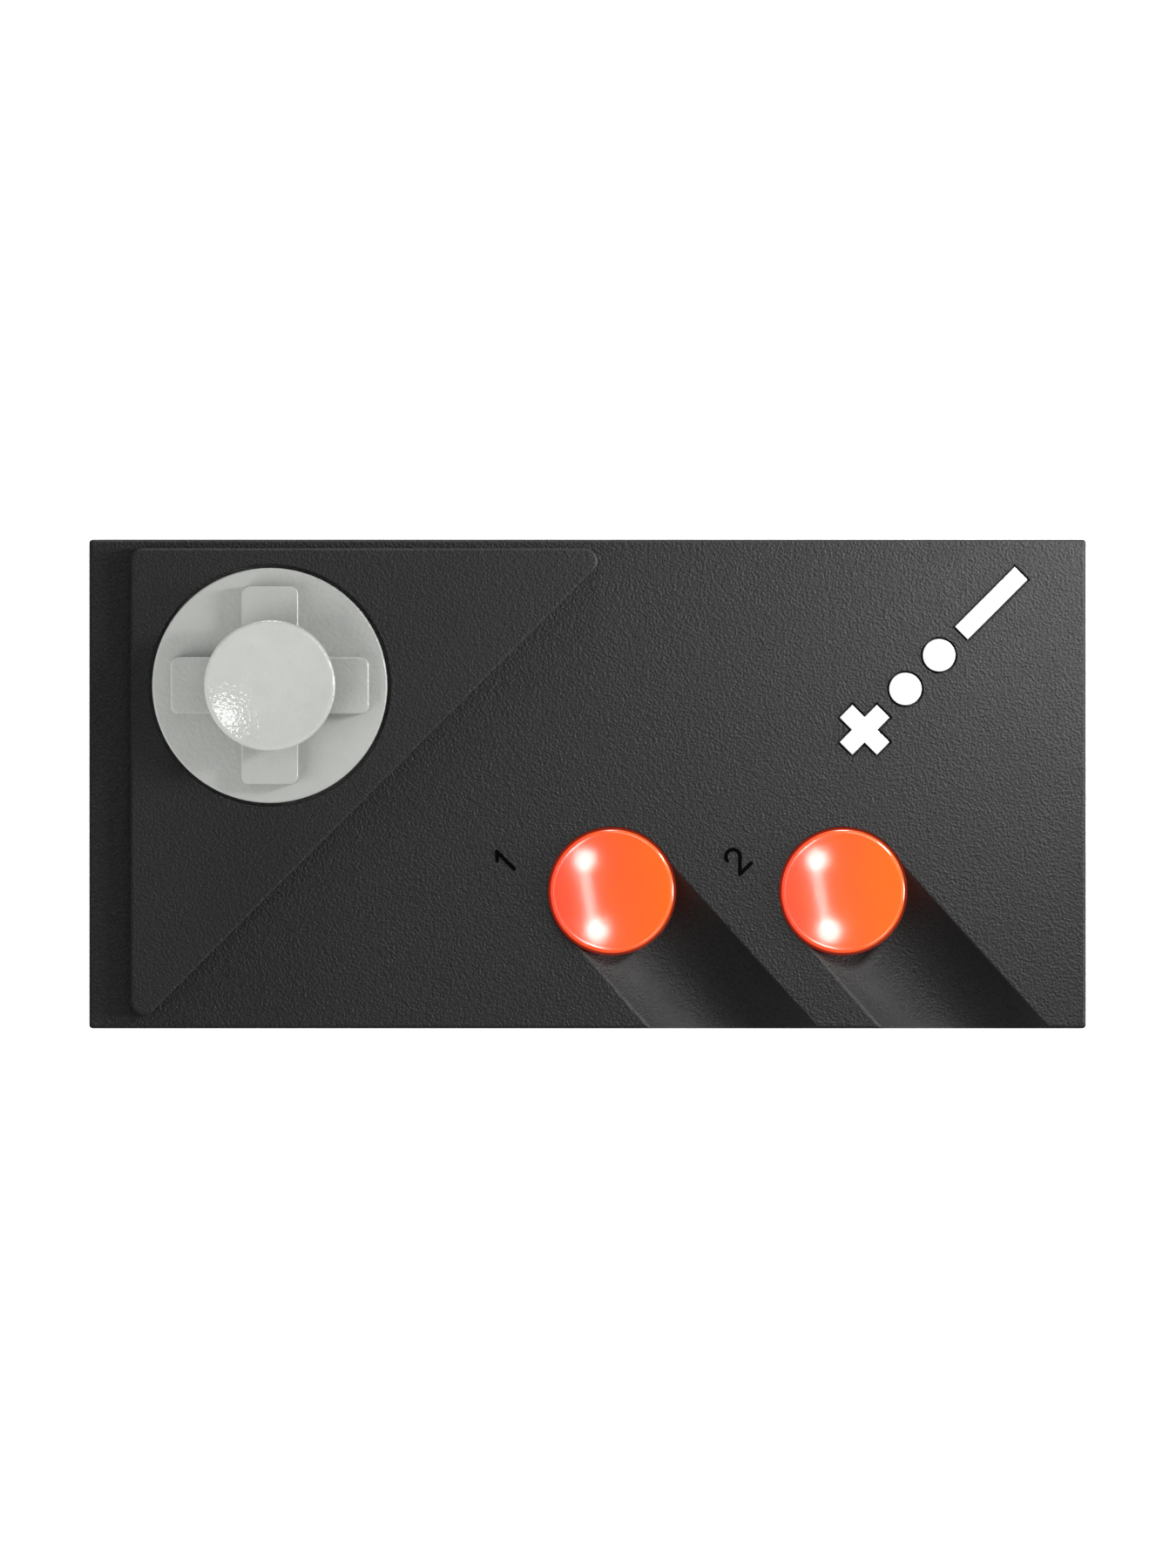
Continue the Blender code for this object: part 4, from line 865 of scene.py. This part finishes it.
def make_pad():
    edge = 0.00030
    flange_low = FLANGE_TOP - FLANGE_THICK
    plate_low = DISC_Z - DISC_PLATE
    inner = rim_radius(FLANGE_TOP) - 0.0015
    top_r = rim_radius(DISC_Z)
    profile = [(0.0, DISC_Z)] + arc((top_r - edge, DISC_Z - edge), edge, 90, 8, 6)
    drop = DISC_Z - edge - FLANGE_TOP
    heights = [DISC_Z - edge - drop * i / 10 for i in range(1, 11)]
    profile += [(rim_radius(z), z) for z in heights]
    profile += [(FLANGE_RADIUS, FLANGE_TOP), (FLANGE_RADIUS, flange_low)]
    profile += [(inner, flange_low), (inner, plate_low)]
    hub_at_plate = math.degrees(math.asin((plate_low - PIVOT_Z) / HUB_RADIUS))
    profile += arc((0.0, PIVOT_Z), HUB_RADIUS, hub_at_plate, -90, 16)[:-1] + [(0.0, PIVOT_Z - HUB_RADIUS)]
    pad = turned("direction_pad", DPAD, profile, 160)
    join(pad, softened("pad_cross", cross_outline, DISC_Z - DISC_PLATE / 2, CROSS_Z, 0.00032, 6))
    leg_top = DISC_Z - DISC_PLATE / 2
    for k in range(4):
        spot = DPAD + Matrix.Rotation(k * HALF_PI, 2) @ Vector((LEG_FROM_MIDDLE, 0.0))
        leg = [(0, DISC_LOW.z), (LEG_RADIUS - LEG_EDGE, DISC_LOW.z), (LEG_RADIUS, DISC_LOW.z + LEG_EDGE)]
        leg += [(LEG_RADIUS, leg_top), (0, leg_top)]
        join(pad, turned(f"leg_{k}", spot, leg, 32))
    socket_radius = outer_radius("stick_insert") + GAP
    socket_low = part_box("stick_insert")[0].z - GAP
    cut(pad, hole("insert_socket", DPAD, socket_radius, socket_low, CROSS_Z, 0.0002, 96))
    finish_piece(pad, "dpad", "pad", PAD_GREY, "dpad_disc", weighted=True)


def threaded(name, spot, z_low, z_high, radius, depth, pitch, sides=32, inside=None):
    """A rod with a helical thread, or with inside set, a tube whose bore is plain."""
    rows = max(2, int((z_high - z_low) / pitch * 8))
    points = []
    for row in range(rows + 1):
        z = z_low + (z_high - z_low) * row / rows
        ends = min(1.0, min(row, rows - row) / 6)
        for k in range(sides):
            phase = (z / pitch - k / sides) % 1.0
            ridge = 1 - abs(2 * phase - 1)
            r = radius - depth * (1 - ridge * ends)
            angle = 2 * math.pi * k / sides
            points.append((spot.x + r * math.cos(angle), spot.y + r * math.sin(angle), z))
    rings = [points[i * sides : (i + 1) * sides] for i in range(rows + 1)]
    if inside is None:
        return loft(name, rings)
    turns = [2 * math.pi * k / sides for k in range(sides)]
    bore = [(spot.x + inside * math.cos(turn), spot.y + inside * math.sin(turn)) for turn in turns]
    loop = rings + [at_height(bore, z) for z in (z_high, z_low)]
    count = len(loop)
    faces = []
    for r in range(count):
        ahead_row = (r + 1) % count
        for i in range(sides):
            ahead = (i + 1) % sides
            faces.append([r * sides + i, r * sides + ahead, ahead_row * sides + ahead, ahead_row * sides + i])
    return put(name, [p for ring in loop for p in ring], faces)


def make_stick():
    neck_low = CAP_LOW.z
    edge_low = CAP_Z - CAP_EDGE_THICK
    profile = dished(CAP_RADIUS, CAP_Z, CAP_RIM_ROUND, CAP_DISH)
    under = 0.0006
    profile += arc((CAP_RADIUS - under, edge_low + under), under, 0, -90, 6)
    profile += arc((NECK_RADIUS + NECK_FLARE, edge_low - NECK_FLARE), NECK_FLARE, 90, 180, 10)
    profile += [(NECK_RADIUS, neck_low + 0.0002), (NECK_RADIUS - 0.0002, neck_low), (0.0, neck_low)]
    cap = turned("thumb_cap", DPAD, profile, 160)
    stud_low, stud_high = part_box("stick_stud")
    stud_radius = (stud_high.x - stud_low.x) / 2
    bore = stud_radius + GAP / 2
    mouth = [(0, neck_low - WALL), (bore, neck_low - WALL), (bore, stud_high.z + GAP), (0, stud_high.z + GAP)]
    cut(cap, turned("stud_room", DPAD, mouth, 48))
    finish_piece(cap, "thumb_stick", "cap", CAP_GREY, "stick_cap", weighted=True)
    stud = threaded("threaded_stud", DPAD, stud_low.z, stud_high.z, stud_radius, 0.00022, 0.00045)
    finish_piece(stud, "thumb_stick", "steel", STEEL, "stick_stud", sharp_deg=25)
    low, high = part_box("stick_insert")
    insert = threaded("brass_insert", DPAD, low.z, high.z, (high.x - low.x) / 2, 0.00018, 0.0006, 48, bore)
    finish_piece(insert, "dpad", "brass", BRASS, "stick_insert", sharp_deg=25)


# ------------------------------------------------------------------ fire buttons, numerals and mark
def make_fire_buttons():
    for i, spot in enumerate(FIRE_SPOTS, 1):
        profile = dished(FIRE_RADIUS, FIRE_TOP, FIRE_RIM_ROUND, FIRE_DISH)
        inner = FIRE_RADIUS - FIRE_SKIN
        roof = FIRE_TOP - FIRE_DISH - FIRE_SKIN
        flange_top = FIRE_FLANGE_LOW + FIRE_FLANGE_THICK
        profile += [(FIRE_RADIUS, flange_top), (FIRE_FLANGE, flange_top), (FIRE_FLANGE, FIRE_FLANGE_LOW)]
        profile += [(inner, FIRE_FLANGE_LOW), (inner, roof), (FIRE_PLUNGER_RADIUS, roof)]
        profile += [(FIRE_PLUNGER_RADIUS, FIRE_PLUNGER_Z), (0.0, FIRE_PLUNGER_Z)]
        cap = turned(f"fire_cap_{i}", spot, profile, 160)
        finish_piece(cap, f"fire_{i}", "fire", FIRE, f"fire_button_{i}", weighted=True)


PRINT_WIDTH = 0.00050
PRINT_THICK = 0.00005
NUMERAL_HALF_HEIGHT = 0.0017
NUMERAL_OFFSET = Vector((-0.01475, 0.00430))


def stroke(name, path, width, z_low, z_high):
    """A flat printed stroke with round ends along a smooth path in the plane."""
    points = [Vector(p) for p in path]
    left, right = [], []
    for i, here in enumerate(points):
        way = (points[min(i + 1, len(points) - 1)] - points[max(i - 1, 0)]).normalized()
        side = Vector((-way.y, way.x)) * width / 2
        left.append(here + side)
        right.append(here - side)

    def end(centre, start):
        return [centre + Matrix.Rotation(-math.pi * k / 10, 2) @ (start - centre) for k in range(1, 10)]

    outline = left + end(points[-1], left[-1]) + right[::-1] + end(points[0], right[0])
    return loft(name, [at_height(outline, z_low), at_height(outline, z_high)])


def make_numerals():
    """The figures 1 and 2, up and to the left of their buttons, on the mark's slant."""
    turn = Matrix.Rotation(math.radians(MARK_HEADING_DEG), 2)
    half = NUMERAL_HALF_HEIGHT
    bow_radius = 0.00098
    bow_middle = (0.0, half - bow_radius)
    bow = arc(bow_middle, bow_radius, 172, -38, 24)
    one = [[(-0.00085, half * 0.45), (0.0, half)], [(0.0, half), (0.0, -half)]]
    two = [bow, [bow[-1], (-0.00105, -half)], [(-0.00105, -half), (0.00112, -half)]]
    for i, (strokes, spot) in enumerate(zip((one, two), FIRE_SPOTS), 1):
        middle = spot + NUMERAL_OFFSET
        pieces = []
        for k, path in enumerate(strokes):
            placed = [middle + turn @ Vector(p) for p in path]
            depth = 0.0001 + 0.00001 * k
            pieces.append(stroke(f"stroke_{k}", placed, PRINT_WIDTH, DECK_Z - depth, DECK_Z + PRINT_THICK))
        figure = join(pieces[0], *pieces[1:])
        figure.name = f"numeral_{i}"
        finish_piece(figure, "housing", "case", PRINT_BLACK)


def make_mark():
    for name, outline in mark_outlines():
        low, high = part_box(name)
        piece = softened(f"{name}_inlay", lambda i, o=outline: o(-GAP / 2 - i), low.z, high.z, 0.00018, 4)
        finish_piece(piece, "housing", "mark", MARK_WHITE, name, weighted=True)


# ------------------------------------------------------------------ rear edge
USB_WIDTH, USB_HEIGHT = (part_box("usb_shell")[1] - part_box("usb_shell")[0]).xz
USB_WALL = 0.0003
USB_BACK = 0.0010
USB_CONTACTS = 12
CONTACT_PITCH = 0.0005
CONTACT_HALF_WIDTH = 0.00013
KEY_LENGTH, KEY_HEIGHT = 0.0090, 0.0030
KEY_RIM = 0.0005
LIGHT_RADIUS = outer_radius("light_pipe")


def make_rear_edge():
    low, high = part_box("usb_shell")
    mouth_edge = 0.00012
    around = pill(USB_WIDTH, USB_HEIGHT, 0.0, USB.z, 24)
    shell = rear_plate("port_shell", around, low.y, high.y, edge=mouth_edge)
    hollow = pill(USB_WIDTH - 2 * USB_WALL, USB_HEIGHT - 2 * USB_WALL, 0.0, USB.z, 24)
    cut(shell, rear_plate("port_hollow", hollow, low.y + USB_BACK, high.y, flare=mouth_edge))
    finish_piece(shell, "housing", "steel", STEEL, "usb_shell")
    low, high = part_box("usb_tongue")
    tongue = soft_box("port_tongue", low, high, 0.00012, 3)
    finish_piece(tongue, "housing", "chip", INSIDE["chip"], "usb_tongue")
    for i in range(USB_CONTACTS):
        x = (i - (USB_CONTACTS - 1) / 2) * CONTACT_PITCH
        pad_low = Vector((x - CONTACT_HALF_WIDTH, low.y + 0.0010, high.z - 0.00005))
        pad_high = Vector((x + CONTACT_HALF_WIDTH, high.y - 0.0004, high.z + 0.00003))
        contact = soft_box(f"port_contact_{i + 1}", pad_low, pad_high, 0.00002, 1)
        finish_piece(contact, "housing", "brass", BRASS)
    for name, key in KEYS.items():
        low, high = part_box(f"{name}_key")
        flange_out = REAR_Y - WALL - GAP
        shape = pill(KEY_LENGTH, KEY_HEIGHT, key.x, key.z, 24)
        face = rear_plate(f"{name}_button", shape, low.y, high.y, edge=0.00035, steps=6)
        rim = pill(KEY_LENGTH + 2 * KEY_RIM, KEY_HEIGHT + 2 * KEY_RIM, key.x, key.z, 24)
        join(face, rear_plate(f"{name}_rim", rim, low.y, flange_out))
        finish_piece(face, f"{name}_push", "case", KEY_PLASTIC, f"{name}_key", weighted=True)
    low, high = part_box("light_pipe")
    circle = pill(2 * LIGHT_RADIUS, 2 * LIGHT_RADIUS, LIGHT.x, LIGHT.z, 16)
    lens = rear_plate("light_lens", circle, low.y, high.y, edge=0.0003)
    finish_piece(lens, "housing", "clear", INSIDE["clear"], "light_pipe")


def dress_inside():
    """CAD solids inside the case keep their shape and get materials."""
    slots = {s["node"]: s["material_slot"] for s in frame["record"]["subparts"]}
    for name, node in frame["nodes"].items():
        material = INSIDE.get(slots[name])
        if material is None:
            continue
        node.data.materials.clear()
        node.data.materials.append(material)


def soften_mats():
    """Gives each rubber mat a mesh of its own."""
    for name, joint, sink in (
        ("fire_mat_1", "fire_1_press", 0.00095),
        ("fire_mat_2", "fire_2_press", 0.00095),
        ("dpad_mat", "dpad_tilt_x", 0.00110),
    ):
        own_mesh(frame["nodes"][name])


# ------------------------------------------------------------------ stage, lights and camera
def make_stage():
    floor = put("floor", [(-3, -3, 0), (3, -3, 0), (3, 3, 0), (-3, 3, 0)], [(0, 1, 2, 3)])
    floor.data.transform(Matrix.Translation((0, 0, -0.0002)))
    white = bpy.data.materials.new("stage_white")
    white.use_nodes = True
    shader = white.node_tree.nodes["Principled BSDF"]
    shader.inputs["Base Color"].default_value = (0.90, 0.90, 0.90, 1.0)
    shader.inputs["Roughness"].default_value = 0.9
    shader.inputs["Specular IOR Level"].default_value = 0.1
    shader.inputs["Emission Color"].default_value = (1.0, 1.0, 1.0, 1.0)
    shader.inputs["Emission Strength"].default_value = 0.95
    floor.data.materials.append(white)
    floor.visible_diffuse = False
    floor.visible_glossy = False


def area_light(
    name, place, power, size, size_y=None, along=(0.0, 0.0, 1.0), only=(), diffuse=True, glossy=True
):
    """A lamp aimed at the deck. A second size makes it a rectangle whose first side runs along the way given.
    With only given, it lights no other pieces."""
    data = bpy.data.lights.new(name, "AREA")
    data.energy = power
    data.size = size
    if size_y:
        data.shape = "RECTANGLE"
        data.size_y = size_y
    else:
        data.shape = "DISK"
    obj = bpy.data.objects.new(name, data)
    bpy.context.scene.collection.objects.link(obj)
    away = (Vector(place) - Vector((0.0, 0.0, DECK_Z))).normalized()
    upright = away.cross(Vector(along)).normalized()
    axes = Matrix((upright.cross(away), upright, away)).transposed()
    obj.matrix_world = Matrix.Translation(place) @ axes.to_4x4()
    obj.visible_camera = False
    obj.visible_diffuse = diffuse
    obj.visible_glossy = glossy
    if only:
        lit = bpy.data.collections.new(f"{name}_lit")
        for piece in only:
            lit.objects.link(bpy.data.objects[piece])
        obj.light_linking.receiver_collection = lit
    return obj


def make_lights():
    key = (0.093, 0.045, DECK_Z + 0.072)
    area_light("key", key, 0.145, 0.050, 0.018)
    area_light("fill", (-0.62, -0.30, 0.50), 4.4, 0.7, glossy=False)
    area_light("edge_rear", (0.0, 2.0, 0.35), 22.0, 0.50, diffuse=False)
    area_light("edge_right", (2.0, 0.0, 0.35), 40.0, 0.60, diffuse=False)
    front, rear = Vector((0.64, -0.76, 3.0)), Vector((0.355, 0.91, 3.0))
    caps = ("fire_cap_1", "fire_cap_2")
    middle = (front + rear) / 2 + Vector((0.06, 0.0, 0.0))
    area_light("strip", middle, 8.5, 1.5, 0.22, rear - front, caps, diffuse=False)
    area_light("strip_rear", rear, 11.0, 0.52, only=caps, diffuse=False)
    area_light("strip_front", front, 9.0, 0.48, only=caps, diffuse=False)
    area_light("crescents", (3.0, 0.9, 1.1), 9.0, 1.3, 0.45, (0.0, 1.0, 0.0), caps, diffuse=False)
    area_light("sparkle", (1.84, 1.30, 3.0), 52.0, 1.20, only=("thumb_cap",), diffuse=False)
    world = bpy.data.worlds.new("studio")
    bpy.context.scene.world = world
    world.use_nodes = True
    nodes, links = world.node_tree.nodes, world.node_tree.links
    path = nodes.new("ShaderNodeLightPath")
    level = nodes.new("ShaderNodeMapRange")
    level.inputs["To Min"].default_value = 0.55
    level.inputs["To Max"].default_value = 0.17
    links.new(path.outputs["Is Glossy Ray"], level.inputs["Value"])
    links.new(level.outputs["Result"], nodes["Background"].inputs["Strength"])
    nodes["Background"].inputs["Color"].default_value = (1.0, 1.0, 1.0, 1.0)


def make_camera():
    data = bpy.data.cameras.new("camera")
    data.type = "ORTHO"
    data.ortho_scale = 0.2171
    data.clip_start = 0.01
    data.clip_end = 10.0
    obj = bpy.data.objects.new("camera", data)
    bpy.context.scene.collection.objects.link(obj)
    obj.location = (0.00006, 0.0, 0.9)
    bpy.context.scene.camera = obj


make_stage()
make_camera()
bpy.context.scene.view_settings.view_transform = "Standard"
make_case_top()
make_case_bottom()
make_feet()
make_screws()
make_pad()
make_stick()
make_fire_buttons()
make_numerals()
make_mark()
make_rear_edge()
make_lights()
dress_inside()
soften_mats()

bpy.context.view_layer.update()
